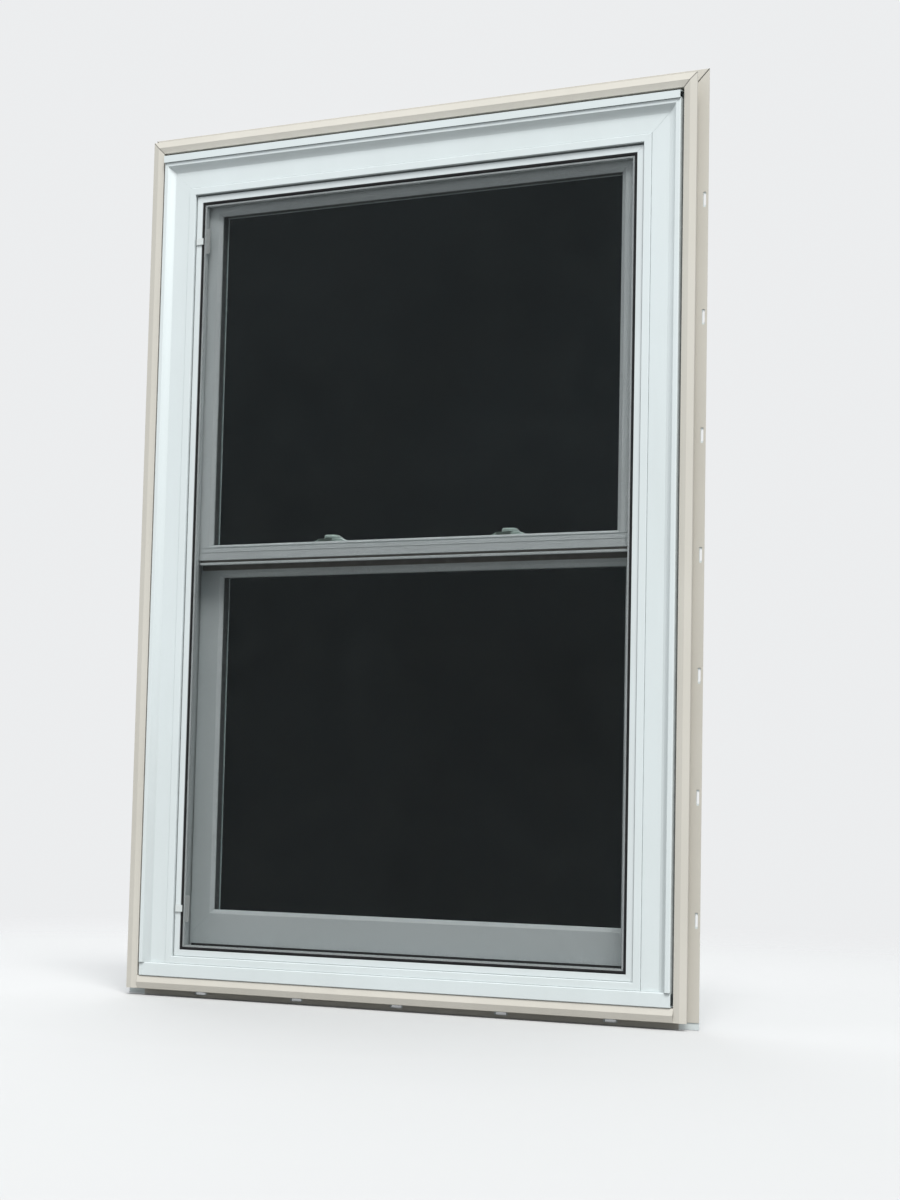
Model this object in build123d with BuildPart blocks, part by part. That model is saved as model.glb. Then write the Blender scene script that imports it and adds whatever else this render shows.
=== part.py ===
"""White vinyl double-hung sash window with brickmould casing, insect screen and siding trim.

All sizes are in millimetres. +Z is up, +Y points from the outdoors into the room and +X is to
the right as seen from outdoors. The back of the nailing fin lies in the plane y = 0, and the
origin is the centre of the corner slots in the fin at the head and the sill.
"""

import os
from typing import NamedTuple

from build123d import *

os.makedirs("parts", exist_ok=True)

# Opening between the walls of the frame
TRACK_HALF_WIDTH = 451.0
TRACK_HALF_HEIGHT = 706.0

# Frame extrusion: v is the distance outwards from the track wall, y the depth
FRAME_WALL = 2.0
FRAME_THICKNESS = 29.0
FRAME_BACK_Y = 72.0
NOSE_FRONT_Y = -28.0
NOSE_LIP = 2.5
NOSE_EDGE = 0.8
NOSE_OUTER_V = 11.0
STOP_FRONT_Y = -12.0
STOP_THICKNESS = 2.5
STOP_HEIGHT = 10.0
HEAD_LEG_HEIGHT = 12.0
HEAD_LEG_THICKNESS = 2.5
SILL_FALL_FRONT_V = 3.0
SILL_RISE_BACK = 4.0
DAM_HEIGHT = 22.0
DAM_THICKNESS = 3.0
DAM_GAP = 1.5

# Nailing fin and its slots
FIN_THICKNESS = 1.5
FIN_EDGE = 6.0
SLOT_LENGTH = 20.0
SLOT_WIDTH = 4.4
SLOT_PITCH = 200.0
SLOTS_WIDE = 5
SLOTS_HIGH = 7
HEM_SLOT_LENGTH = 26.0
HEM_SLOT_WIDTH = 5.0
HEM_SLOT_CORNER = 1.0

# Casing round the frame
CASING_WIDTH = 54.0
CASING_FLAT = 32.0
CASING_FLAT_Y = -26.0
CASING_BEAD = 10.0
CASING_BEAD_Y = -34.0
CASING_BEAD_RADIUS = 1.6
COVE_BELLY = 0.6
COVE_SAG = 0.35
CASING_WALL = 2.0
SILL_NOSE_HEIGHT = 24.0
SILL_NOSE_Y = -31.0

# Cap over the head casing
CAP_RISE = 12.0
CAP_SLOPE = 6.0
CAP_LIP_DROP = 1.0
CAP_FRONT_Y = -36.5
CAP_WALL = 1.2
CAP_LEG = 0.8

# Channel that takes the ends of the siding
J_GAP = 4.5
J_SEAT_GAP = 0.5
J_FACE_WIDTH = 23.0
J_HEM_WIDTH = 35.0
J_FRONT_Y = -29.0
J_CROWN = 2.5
J_WALL = 1.0
J_RETURN = 3.0
J_SLOT_INSET = 6.5

# Sashes
SASH_THICKNESS = 32.0
SASH_GAP = 8.0
SASH_SIDE_GAP = 2.5
UPPER_SASH_Y = STOP_FRONT_Y + STOP_THICKNESS + 1.5
LOWER_SASH_Y = UPPER_SASH_Y + SASH_THICKNESS + SASH_GAP
SASH_WALL = 2.0
STILE_FACE = 47.5
UPPER_TOP_GAP = 2.0
UPPER_TOP_RAIL = 41.0
UPPER_MEETING_RAIL = 28.0
UPPER_BOTTOM_Z = 18.0
LOWER_TOP_Z = 42.0
LOWER_MEETING_RAIL = 52.0
LOWER_BOTTOM_RAIL = 80.0
LOWER_BOTTOM_GAP = 2.0
LIP_DEPTH = 7.0
LIP_BEVEL = 4.0
LIP_BEVEL_WIDTH = 7.0
GLASS_BITE = 10.5
GLASS_EDGE_GAP = 1.5
BEAD_WIDTH = 16.5
BEAD_SET_BACK = 1.0
PANE = 3.0
PANE_GAP = 13.0
SPACER_WIDTH = 8.0
SPACER_INSET = 1.0
BEAD_JOINT_GAP = 0.1

# Finger lift along the bottom rail
LIFT_END_INSET = 41.0
LIFT_BELOW_SIGHT = 20.0
LIFT_REACH = 14.0
LIFT_LIP = 10.0
LIFT_WALL = 3.0

# Balance pockets in the jambs and what runs in them
POCKET_WIDTH = 19.0
POCKET_SLOT = 10.0
POCKET_OFFSET = 19.0
GUIDE_GAP = 0.3
SHOE_HEIGHT = 55.0
SHOE_BELOW_PIVOT = 9.0
PIVOT_ABOVE_BOTTOM = 9.0
PIVOT_WIDTH = 8.0
PIVOT_THICKNESS = 4.0
PIVOT_INNER = 38.0
PIVOT_REACH = 17.5
PIVOT_SEAT_GAP = 0.2
SHOE_CHAMFER = 1.5
COIL_RADIUS = 8.0
COIL_WIDTH = 12.0
COIL_HUB_RADIUS = 3.0
COIL_RUNNING_GAP = 0.05
COIL_FROM_WALL = 0.7
LOWER_COIL_Z = 60.0
UPPER_COIL_Z = 100.0
TAPE_THICKNESS = 0.3
CARRIER_HEIGHT = 24.0
CARRIER_INNER_V = 10.0

# Tilt latches in the top corners of each sash
LATCH_TRAVEL = 12.0
LATCH_BOLT = 10.0
LATCH_BODY = 66.0
LATCH_DEPTH = 11.0
LATCH_TAB_LENGTH = 16.0
LATCH_NOSE_BEVEL = 4.0
UPPER_TAB_HEIGHT = 1.0
LOWER_TAB_HEIGHT = 4.0

# Interlock strips on the meeting rails
INTERLOCK_END_INSET = 10.5
INTERLOCK_WALL = 1.2
INTERLOCK_REACH = 6.0
INTERLOCK_HOOK = 13.0
UPPER_INTERLOCK_Z = 20.0
LOWER_INTERLOCK_Z = 40.0

# Sash locks
LOCK_X = 178.0
LOCK_BASE_LENGTH = 87.0
LOCK_BASE_WIDTH = 22.0
LOCK_BASE_HEIGHT = 14.5
LOCK_END_HEIGHT = 4.0
LOCK_CROWN_LENGTH = 40.0
LOCK_EDGE = 1.5
LOCK_INSET = 14.0
CAM_REACH = 25.5
CAM_HUB_RADIUS = 7.0
CAM_WIDTH = 9.0
CAM_THICKNESS = 3.0
CAM_LOW = 5.5
CAM_SHAFT_RADIUS = 4.0
CAM_RUNNING_GAP = 0.05
LEVER_LENGTH = 34.0
LEVER_THICKNESS = 6.0
LEVER_ROOT = 14.0
LEVER_TIP = 6.0
KEEPER_LENGTH = 30.0
KEEPER_DEPTH = 6.0
KEEPER_WALL = 1.5
KEEPER_HEIGHT = 9.0
KEEPER_LEG = 10.5
KEEPER_LEG_THICKNESS = 1.0

# Bulb seal under the lower sash
SEAL_INSET = 8.0
SEAL_FLANGE = 8.0
SEAL_RADIUS = 1.7
SEAL_WALL = 0.7

# Insect screen
SCREEN_GAP = 1.5
SCREEN_WIDTH = 20.5
SCREEN_DEPTH = 11.0
SCREEN_WALL = 1.0
SCREEN_LIP = 3.5
SCREEN_LIP_SET_BACK = 1.4
GROOVE_WIDTH = 5.0
GROOVE_DEPTH = 6.5
SPLINE_WIDTH = 4.6
SPLINE_PROUD = 0.9
MESH_THICKNESS = 0.4
KEY_LEG = 32.0
KEY_GAP = 0.2

# Plungers that hold the screen
PLUNGER_FROM_CORNER = 86.0
PLUNGER_RADIUS = 2.2
PLUNGER_RUNNING_GAP = 0.05
PLUNGER_TRAVEL = 5.0
PLUNGER_HOLE_RADIUS = 3.0
PLUNGER_NECK = 3.0
PLUNGER_TAB_LENGTH = 14.0
PLUNGER_TAB_HEIGHT = 12.0
PLUNGER_TAB_THICKNESS = 2.0

# Heights worked out from the sizes above, first from the middle of the frame
NOSE_OUTER_HALF_HEIGHT = TRACK_HALF_HEIGHT + NOSE_OUTER_V
NOSE_OUTER_HALF_WIDTH = TRACK_HALF_WIDTH + NOSE_OUTER_V
CASING_TOP = NOSE_OUTER_HALF_HEIGHT + CASING_WIDTH
J_HEAD_WEB = CASING_TOP + CAP_RISE + CAP_SLOPE + J_SEAT_GAP
J_SILL_WEB = NOSE_OUTER_HALF_HEIGHT + SILL_NOSE_HEIGHT + J_SEAT_GAP
J_SIDE_WEB = NOSE_OUTER_HALF_WIDTH + CASING_WIDTH + J_GAP
HEAD_SLOT = J_HEAD_WEB + J_HEM_WIDTH - J_SLOT_INSET
SILL_SLOT = J_SILL_WEB + J_HEM_WIDTH - J_SLOT_INSET
SIDE_SLOT = J_SIDE_WEB + J_HEM_WIDTH - J_SLOT_INSET

# The origin lies midway between the head and sill slots, so the frame's middle is below it
MIDDLE_Z = (SILL_SLOT - HEAD_SLOT) / 2


class Ring(NamedTuple):
    """A rectangle in the plane of the window, centred on x = 0."""

    half_width: float
    low: float
    high: float

    def grown(self, by):
        """The same rectangle with each edge moved outwards."""
        return Ring(self.half_width + by, self.low - by, self.high + by)

    def edge(self, side):
        """Where one edge stands, as a distance from the origin."""
        if side == "head":
            return self.high
        if side == "sill":
            return -self.low
        return self.half_width


TRACK = Ring(TRACK_HALF_WIDTH, MIDDLE_Z - TRACK_HALF_HEIGHT, MIDDLE_Z + TRACK_HALF_HEIGHT)
NOSE_OUTER = TRACK.grown(NOSE_OUTER_V)
FIN = Ring(SIDE_SLOT + FIN_EDGE, MIDDLE_Z - SILL_SLOT - FIN_EDGE, MIDDLE_Z + HEAD_SLOT + FIN_EDGE)
CASING = Ring(NOSE_OUTER.half_width + CASING_WIDTH, NOSE_OUTER.low, NOSE_OUTER.high + CASING_WIDTH)
J_WEB = Ring(J_SIDE_WEB, MIDDLE_Z - J_SILL_WEB, MIDDLE_Z + J_HEAD_WEB)
J_HEM = J_WEB.grown(J_HEM_WIDTH)
SCREEN_OUTER = Ring(
    TRACK.half_width - NOSE_LIP - SCREEN_GAP, TRACK.low + NOSE_LIP, TRACK.high - NOSE_LIP - 2 * SCREEN_GAP
)
SCREEN_SIGHT = SCREEN_OUTER.grown(-SCREEN_WIDTH)
UPPER_OUTER = Ring(TRACK.half_width - SASH_SIDE_GAP, MIDDLE_Z + UPPER_BOTTOM_Z, TRACK.high - UPPER_TOP_GAP)
LOWER_OUTER = Ring(
    TRACK.half_width - SASH_SIDE_GAP, TRACK.low + SILL_RISE_BACK + LOWER_BOTTOM_GAP, MIDDLE_Z + LOWER_TOP_Z
)
UPPER_SIGHT = Ring(
    UPPER_OUTER.half_width - STILE_FACE,
    UPPER_OUTER.low + UPPER_MEETING_RAIL,
    UPPER_OUTER.high - UPPER_TOP_RAIL,
)
LOWER_SIGHT = Ring(
    LOWER_OUTER.half_width - STILE_FACE,
    LOWER_OUTER.low + LOWER_BOTTOM_RAIL,
    LOWER_OUTER.high - LOWER_MEETING_RAIL,
)

# Depths worked out from the sizes above
SCREEN_FRONT_Y = STOP_FRONT_Y - SCREEN_DEPTH
GLASS_Y = LIP_DEPTH
BEAD_Y = GLASS_Y + 2 * PANE + PANE_GAP
DAM_Y = LOWER_SASH_Y + SASH_THICKNESS + DAM_GAP
POCKET_OUTER_X = TRACK_HALF_WIDTH + FRAME_THICKNESS - FRAME_WALL
COIL_X = POCKET_OUTER_X - COIL_FROM_WALL - COIL_RADIUS

OUTWARD = {
    "left": Vector(-1, 0, 0),
    "right": Vector(1, 0, 0),
    "head": Vector(0, 0, 1),
    "sill": Vector(0, 0, -1),
}
INTO_WALL = Vector(0, 1, 0)


def write(piece, label):
    """Label a finished piece and write its STEP file."""
    piece.part.label = label
    export_step(piece.part, f"parts/{label}.step")


def polygon(*points, mode=Mode.ADD):
    """Add a polygon to the sketch being drawn, or cut it away."""
    with BuildLine() as outline:
        Polyline(*points, close=True)
    make_face(outline.edges(), mode=mode)


def rectangle(v0, y0, v1, y1, mode=Mode.ADD):
    """Add the rectangle between two corners to the sketch being drawn, or cut it away."""
    polygon((v0, y0), (v1, y0), (v1, y1), (v0, y1), mode=mode)


def block(low, high, mode=Mode.ADD):
    """Add the box between two corners to the part being built, or cut it away."""
    middle = [(a + b) / 2 for a, b in zip(low, high)]
    with Locations(tuple(middle)):
        Box(*[b - a for a, b in zip(low, high)], mode=mode)


def bar(draw, side, edges, ends, y=0.0, square=(), mitre_gap=0.0):
    """Add a section extruded along one side of a ring, with mitred ends.

    The section's x is the distance outwards from that edge of `edges`, and its y the depth.
    The ring `ends` gives the bar's reach, and `square` names the ends that aren't mitred.
    """
    outward = OUTWARD[side]
    ends_at = ("head", "sill") if side in ("left", "right") else ("right", "left")
    run = OUTWARD[ends_at[0]]
    far = ends.edge(ends_at[0])
    near = -ends.edge(ends_at[1])
    origin = outward * edges.edge(side) + run * ((far + near) / 2) + INTO_WALL * y
    with BuildSketch(Plane(origin=origin, x_dir=outward, z_dir=outward.cross(INTO_WALL))) as section:
        draw()
    blank = extrude(section.sketch, amount=(far - near) / 2, both=True, mode=Mode.PRIVATE)
    for name in ends_at:
        if name in square:
            continue
        along = OUTWARD[name]
        corner = outward * edges.edge(side) + along * (edges.edge(name) - mitre_gap)
        mitre = Plane(origin=corner, z_dir=outward - along)
        blank = split(blank, bisect_by=mitre, keep=Keep.TOP, mode=Mode.PRIVATE)
    add(blank)


def cut_slots(centres, rotation=0):
    """Punch the round-ended nail slots through the fin."""
    with BuildSketch(Plane.XZ) as slots:
        with Locations(*centres):
            SlotOverall(SLOT_LENGTH, SLOT_WIDTH, rotation=rotation)
    extrude(slots.sketch, amount=FIN_THICKNESS, mode=Mode.SUBTRACT)


def cut_hem_slots(centres, y_back, y_front, upright=False):
    """Punch the looser, square-ended slots through a hem or leg that lies on the fin."""
    half_x = (HEM_SLOT_WIDTH if upright else HEM_SLOT_LENGTH) / 2
    half_z = (HEM_SLOT_LENGTH if upright else HEM_SLOT_WIDTH) / 2
    with BuildSketch(Plane.XZ.offset(-y_back)) as slots:
        for x, z in centres:
            polygon(
                (x - half_x, z - half_z + HEM_SLOT_CORNER),
                (x - half_x + HEM_SLOT_CORNER, z - half_z),
                (x + half_x - HEM_SLOT_CORNER, z - half_z),
                (x + half_x, z - half_z + HEM_SLOT_CORNER),
                (x + half_x, z + half_z - HEM_SLOT_CORNER),
                (x + half_x - HEM_SLOT_CORNER, z + half_z),
                (x - half_x + HEM_SLOT_CORNER, z + half_z),
                (x - half_x, z + half_z - HEM_SLOT_CORNER),
            )
    extrude(slots.sketch, amount=y_back - y_front, mode=Mode.SUBTRACT)


SLOTS_ACROSS = [SLOT_PITCH * (i - (SLOTS_WIDE - 1) / 2) for i in range(SLOTS_WIDE)]
SLOTS_UP = [MIDDLE_Z + SLOT_PITCH * (i - (SLOTS_HIGH - 1) / 2) for i in range(SLOTS_HIGH)]
HEAD_SLOTS = [(x, MIDDLE_Z + HEAD_SLOT) for x in SLOTS_ACROSS]
SILL_SLOTS = [(x, MIDDLE_Z - SILL_SLOT) for x in SLOTS_ACROSS]
SIDE_SLOTS = {
    "left": [(-SIDE_SLOT, z) for z in SLOTS_UP],
    "right": [(SIDE_SLOT, z) for z in SLOTS_UP],
}


# Frame

def draw_frame(side, channel):
    """Section with the nailing fin, nose and screen stop, and `channel` on the sash side."""
    fin_reach = FIN.edge(side) - TRACK.edge(side)
    stop_back = STOP_FRONT_Y + STOP_THICKNESS
    polygon(
        (fin_reach, 0),
        (fin_reach, -FIN_THICKNESS),
        (NOSE_OUTER_V, -FIN_THICKNESS),
        (NOSE_OUTER_V, NOSE_FRONT_Y + NOSE_EDGE),
        (NOSE_OUTER_V - NOSE_EDGE, NOSE_FRONT_Y),
        (NOSE_EDGE - NOSE_LIP, NOSE_FRONT_Y),
        (-NOSE_LIP, NOSE_FRONT_Y + NOSE_EDGE),
        (-NOSE_LIP, STOP_FRONT_Y),
        (-STOP_HEIGHT, STOP_FRONT_Y),
        (-STOP_HEIGHT, stop_back),
        *channel,
        (FRAME_THICKNESS, FRAME_BACK_Y),
        (FRAME_THICKNESS, 0),
    )
    inner = FRAME_WALL - NOSE_LIP
    root = channel[0][0] + FRAME_WALL
    front = NOSE_FRONT_Y + FRAME_WALL
    outer = NOSE_OUTER_V - FRAME_WALL
    polygon(
        (inner, front),
        (outer, front),
        (outer, -FIN_THICKNESS),
        (root, -FIN_THICKNESS),
        (root, STOP_FRONT_Y),
        (inner, STOP_FRONT_Y),
        mode=Mode.SUBTRACT,
    )


def pocket_y(sash_y):
    """Depth of the middle of the balance pocket beside a sash."""
    return sash_y + POCKET_OFFSET


def draw_jamb(side):
    """Jamb section: two balance pockets, each with a slot towards its sash."""
    draw_frame(side, [(0, STOP_FRONT_Y + STOP_THICKNESS), (0, FRAME_BACK_Y)])
    outer = FRAME_THICKNESS - FRAME_WALL
    upper = pocket_y(UPPER_SASH_Y)
    lower = pocket_y(LOWER_SASH_Y)
    for middle in (upper, lower):
        rectangle(
            FRAME_WALL, middle - POCKET_WIDTH / 2, outer, middle + POCKET_WIDTH / 2, mode=Mode.SUBTRACT
        )
        rectangle(0, middle - POCKET_SLOT / 2, FRAME_WALL, middle + POCKET_SLOT / 2, mode=Mode.SUBTRACT)
    web = POCKET_WIDTH / 2 + FRAME_WALL
    rectangle(FRAME_WALL, upper + web, outer, lower - web, mode=Mode.SUBTRACT)
    rectangle(FRAME_WALL, lower + web, outer, FRAME_BACK_Y - FRAME_WALL, mode=Mode.SUBTRACT)


def draw_head():
    """Head section: two closed chambers over the sash tracks."""
    draw_frame("head", [(0, STOP_FRONT_Y + STOP_THICKNESS), (0, FRAME_BACK_Y)])
    outer = FRAME_THICKNESS - FRAME_WALL
    middle = FRAME_BACK_Y / 2
    rectangle(FRAME_WALL, FRAME_WALL, outer, middle - FRAME_WALL / 2, mode=Mode.SUBTRACT)
    rectangle(FRAME_WALL, middle + FRAME_WALL / 2, outer, FRAME_BACK_Y - FRAME_WALL, mode=Mode.SUBTRACT)


def draw_head_leg():
    """Leg that hangs between the two tracks and covers the top of the upper sash."""
    leg_y = UPPER_SASH_Y + SASH_THICKNESS + (SASH_GAP - HEAD_LEG_THICKNESS) / 2
    rectangle(-HEAD_LEG_HEIGHT, leg_y, 0, leg_y + HEAD_LEG_THICKNESS)


def sill_floor(y):
    """Height of the sloping floor below the track edge, at a depth."""
    front_y = STOP_FRONT_Y + STOP_THICKNESS
    return SILL_FALL_FRONT_V - (y - front_y) * (SILL_FALL_FRONT_V + SILL_RISE_BACK) / (DAM_Y - front_y)


FLOOR_LEVEL_Y = (
    STOP_FRONT_Y
    + STOP_THICKNESS
    + (DAM_Y - STOP_FRONT_Y - STOP_THICKNESS) * SILL_FALL_FRONT_V / (SILL_FALL_FRONT_V + SILL_RISE_BACK)
)


def draw_sill():
    """Sill section: the front of the sloping floor over closed chambers."""
    stop_back = STOP_FRONT_Y + STOP_THICKNESS
    draw_frame("sill", [(SILL_FALL_FRONT_V, stop_back), (0, FLOOR_LEVEL_Y), (0, FRAME_BACK_Y)])
    outer = FRAME_THICKNESS - FRAME_WALL
    polygon(
        (sill_floor(FRAME_WALL) + FRAME_WALL, FRAME_WALL),
        (FRAME_WALL, FLOOR_LEVEL_Y),
        (FRAME_WALL, FRAME_BACK_Y / 2),
        (outer, FRAME_BACK_Y / 2),
        (outer, FRAME_WALL),
        mode=Mode.SUBTRACT,
    )
    back = FRAME_BACK_Y - FRAME_WALL
    rectangle(FRAME_WALL, FRAME_BACK_Y / 2 + FRAME_WALL, outer, back, mode=Mode.SUBTRACT)


def draw_sill_dam():
    """Back of the sloping floor and the upright dam behind the lower sash."""
    polygon(
        (0, FLOOR_LEVEL_Y),
        (-SILL_RISE_BACK, DAM_Y),
        (-DAM_HEIGHT, DAM_Y),
        (-DAM_HEIGHT, DAM_Y + DAM_THICKNESS),
        (-SILL_RISE_BACK, DAM_Y + DAM_THICKNESS),
        (-SILL_RISE_BACK, FRAME_BACK_Y),
        (0, FRAME_BACK_Y),
    )


def make_frame():
    """Head, sill and jambs, mitred at the corners."""
    with BuildPart() as head:
        bar(draw_head, "head", TRACK, FIN)
        bar(draw_head_leg, "head", TRACK, TRACK, square=("left", "right"))
        cut_slots(HEAD_SLOTS)
    write(head, "frame_head")

    with BuildPart() as sill:
        bar(draw_sill, "sill", TRACK, FIN)
        bar(draw_sill_dam, "sill", TRACK, TRACK, square=("left", "right"))
        cut_slots(SILL_SLOTS)
    write(sill, "frame_sill")

    for side in ("left", "right"):
        with BuildPart() as jamb:
            bar(lambda: draw_jamb(side), side, TRACK, FIN)
            cut_slots(SIDE_SLOTS[side], rotation=90)
            if side == "left":
                nose_middle_x = -(TRACK.half_width - NOSE_LIP / 2)
                for z in PLUNGER_HEIGHTS:
                    with Locations(Location((nose_middle_x, PLUNGER_Y, z), (0, 90, 0))):
                        Cylinder(PLUNGER_HOLE_RADIUS, NOSE_LIP + FRAME_WALL / 2, mode=Mode.SUBTRACT)
        write(jamb, f"frame_jamb_{side}")


# Casing, cap and siding channel

def draw_casing():
    """Brickmould: a flat band, a cove and a rounded outer bead over two chambers."""
    cove_end = CASING_WIDTH - CASING_BEAD
    start = (0, -FIN_THICKNESS)
    cove_middle = (
        CASING_FLAT + (cove_end - CASING_FLAT) * COVE_BELLY,
        CASING_FLAT_Y + (CASING_BEAD_Y - CASING_FLAT_Y) * COVE_SAG,
    )
    with BuildLine() as outline:
        flat = Polyline(
            start, (0, CASING_FLAT_Y + NOSE_EDGE), (NOSE_EDGE, CASING_FLAT_Y), (CASING_FLAT, CASING_FLAT_Y)
        )
        cove = ThreePointArc(flat @ 1, cove_middle, (cove_end, CASING_BEAD_Y + CASING_BEAD_RADIUS))
        Polyline(
            cove @ 1,
            (cove_end + CASING_BEAD_RADIUS, CASING_BEAD_Y),
            (CASING_WIDTH - CASING_BEAD_RADIUS, CASING_BEAD_Y),
            (CASING_WIDTH, CASING_BEAD_Y + CASING_BEAD_RADIUS),
            (CASING_WIDTH, -FIN_THICKNESS),
            start,
        )
    make_face(outline.edges())
    back = -FIN_THICKNESS - CASING_WALL
    front = CASING_FLAT_Y + CASING_WALL
    rib = CASING_FLAT - CASING_WALL
    rectangle(CASING_WALL, back, rib - CASING_WALL, front, mode=Mode.SUBTRACT)
    polygon(
        (rib, back),
        (rib, front),
        (cove_end - CASING_WALL, front),
        (cove_end + CASING_WALL, CASING_BEAD_Y + CASING_WALL + CASING_BEAD_RADIUS),
        (cove_end + CASING_WALL, CASING_BEAD_Y + CASING_WALL),
        (CASING_WIDTH - CASING_WALL, CASING_BEAD_Y + CASING_WALL),
        (CASING_WIDTH - CASING_WALL, back),
        mode=Mode.SUBTRACT,
    )


def draw_sill_nose():
    """Plain hollow strip that carries the feet of the side casings."""
    bottom = SILL_NOSE_HEIGHT
    polygon(
        (0, -FIN_THICKNESS),
        (0, SILL_NOSE_Y + NOSE_EDGE),
        (NOSE_EDGE, SILL_NOSE_Y),
        (bottom - NOSE_EDGE, SILL_NOSE_Y),
        (bottom, SILL_NOSE_Y + NOSE_EDGE),
        (bottom, -FIN_THICKNESS),
    )
    rectangle(
        CASING_WALL,
        SILL_NOSE_Y + CASING_WALL,
        bottom - CASING_WALL,
        -FIN_THICKNESS - CASING_WALL,
        mode=Mode.SUBTRACT,
    )


def draw_cap():
    """Head cap: nailing leg, sloping top, hanging front lip and a floor on the casing."""
    leg_top = J_HEM.high - CASING.high
    leg_front = -FIN_THICKNESS - CAP_LEG
    back_top = CAP_RISE + CAP_SLOPE
    polygon(
        (0, -FIN_THICKNESS),
        (leg_top, -FIN_THICKNESS),
        (leg_top, leg_front),
        (back_top, leg_front),
        (CAP_RISE, CAP_FRONT_Y),
        (-CAP_LIP_DROP, CAP_FRONT_Y),
        (-CAP_LIP_DROP, CAP_FRONT_Y + CAP_WALL),
        (0, CAP_FRONT_Y + CAP_WALL),
    )
    polygon(
        (CAP_WALL, leg_front),
        (back_top - CAP_WALL, leg_front),
        (CAP_RISE - CAP_WALL, CAP_FRONT_Y + CAP_WALL),
        (CAP_WALL, CAP_FRONT_Y + CAP_WALL),
        mode=Mode.SUBTRACT,
    )


def draw_j_channel(back_y):
    """J-channel: web against the casing, hem on the fin and crowned face with its return."""
    middle = J_FACE_WIDTH / 2
    polygon(
        (0, J_FRONT_Y),
        (middle, J_FRONT_Y - J_CROWN),
        (J_FACE_WIDTH, J_FRONT_Y),
        (J_FACE_WIDTH, J_FRONT_Y + J_RETURN),
        (J_FACE_WIDTH - J_WALL, J_FRONT_Y + J_RETURN),
        (J_FACE_WIDTH - J_WALL, J_FRONT_Y + J_WALL),
        (middle, J_FRONT_Y - J_CROWN + J_WALL),
        (J_WALL, J_FRONT_Y + J_WALL),
        (J_WALL, back_y - J_WALL),
        (J_HEM_WIDTH, back_y - J_WALL),
        (J_HEM_WIDTH, back_y),
        (0, back_y),
    )


def make_trim():
    """Casing on the head and sides, the sill strip, the head cap and the siding channel."""
    with BuildPart() as casing_head:
        bar(draw_casing, "head", NOSE_OUTER, CASING)
    write(casing_head, "brickmould_head")

    for side in ("left", "right"):
        with BuildPart() as casing_side:
            bar(draw_casing, side, NOSE_OUTER, CASING, square=("sill",))
        write(casing_side, f"brickmould_{side}")

    with BuildPart() as sill_nose:
        bar(draw_sill_nose, "sill", NOSE_OUTER, CASING, square=("left", "right"))
    write(sill_nose, "sill_nose")

    with BuildPart() as drip_cap:
        bar(draw_cap, "head", CASING, CASING, square=("left", "right"))
        cut_hem_slots(HEAD_SLOTS, -FIN_THICKNESS, -FIN_THICKNESS - CAP_LEG)
    write(drip_cap, "drip_cap")

    head_back = -FIN_THICKNESS - CAP_LEG
    with BuildPart() as j_head:
        bar(lambda: draw_j_channel(head_back), "head", J_WEB, J_HEM)
        cut_hem_slots(HEAD_SLOTS, head_back, head_back - J_WALL)
    write(j_head, "j_channel_head")

    sides = Ring(J_HEM.half_width, J_WEB.low - J_FACE_WIDTH, J_HEM.high)
    for side in ("left", "right"):
        with BuildPart() as j_side:
            bar(lambda: draw_j_channel(-FIN_THICKNESS), side, J_WEB, sides, square=("sill",))
            cut_hem_slots(SIDE_SLOTS[side], -FIN_THICKNESS, -FIN_THICKNESS - J_WALL, upright=True)
        write(j_side, f"j_channel_{side}")

    with BuildPart() as j_sill:
        bar(lambda: draw_j_channel(-FIN_THICKNESS), "sill", J_WEB, J_WEB, square=("left", "right"))
        cut_hem_slots(SILL_SLOTS, -FIN_THICKNESS, -FIN_THICKNESS - J_WALL)
    write(j_sill, "j_channel_sill")


# Insect screen

TUBE_FROM_SIGHT = SCREEN_LIP + GROOVE_WIDTH
PLUNGER_Y = SCREEN_FRONT_Y + SCREEN_DEPTH / 2
PLUNGER_HEIGHTS = (SCREEN_OUTER.low + PLUNGER_FROM_CORNER, SCREEN_OUTER.high - PLUNGER_FROM_CORNER)
LIP_FRONT_Y = SCREEN_FRONT_Y + SCREEN_LIP_SET_BACK
NECK_OUTER_X = SCREEN_OUTER.half_width - 2 * SCREEN_WALL


def draw_screen_frame():
    """Roll-formed tube with the groove that holds the mesh."""
    back = STOP_FRONT_Y
    groove_floor = SCREEN_FRONT_Y + GROOVE_DEPTH
    polygon(
        (0, LIP_FRONT_Y),
        (SCREEN_LIP, LIP_FRONT_Y),
        (SCREEN_LIP, groove_floor),
        (TUBE_FROM_SIGHT, groove_floor),
        (TUBE_FROM_SIGHT, SCREEN_FRONT_Y),
        (SCREEN_WIDTH - SCREEN_WALL, SCREEN_FRONT_Y),
        (SCREEN_WIDTH, SCREEN_FRONT_Y + SCREEN_WALL),
        (SCREEN_WIDTH, back),
        (0, back),
    )
    rectangle(
        TUBE_FROM_SIGHT + SCREEN_WALL,
        SCREEN_FRONT_Y + SCREEN_WALL,
        SCREEN_WIDTH - SCREEN_WALL,
        back - SCREEN_WALL,
        mode=Mode.SUBTRACT,
    )


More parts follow.
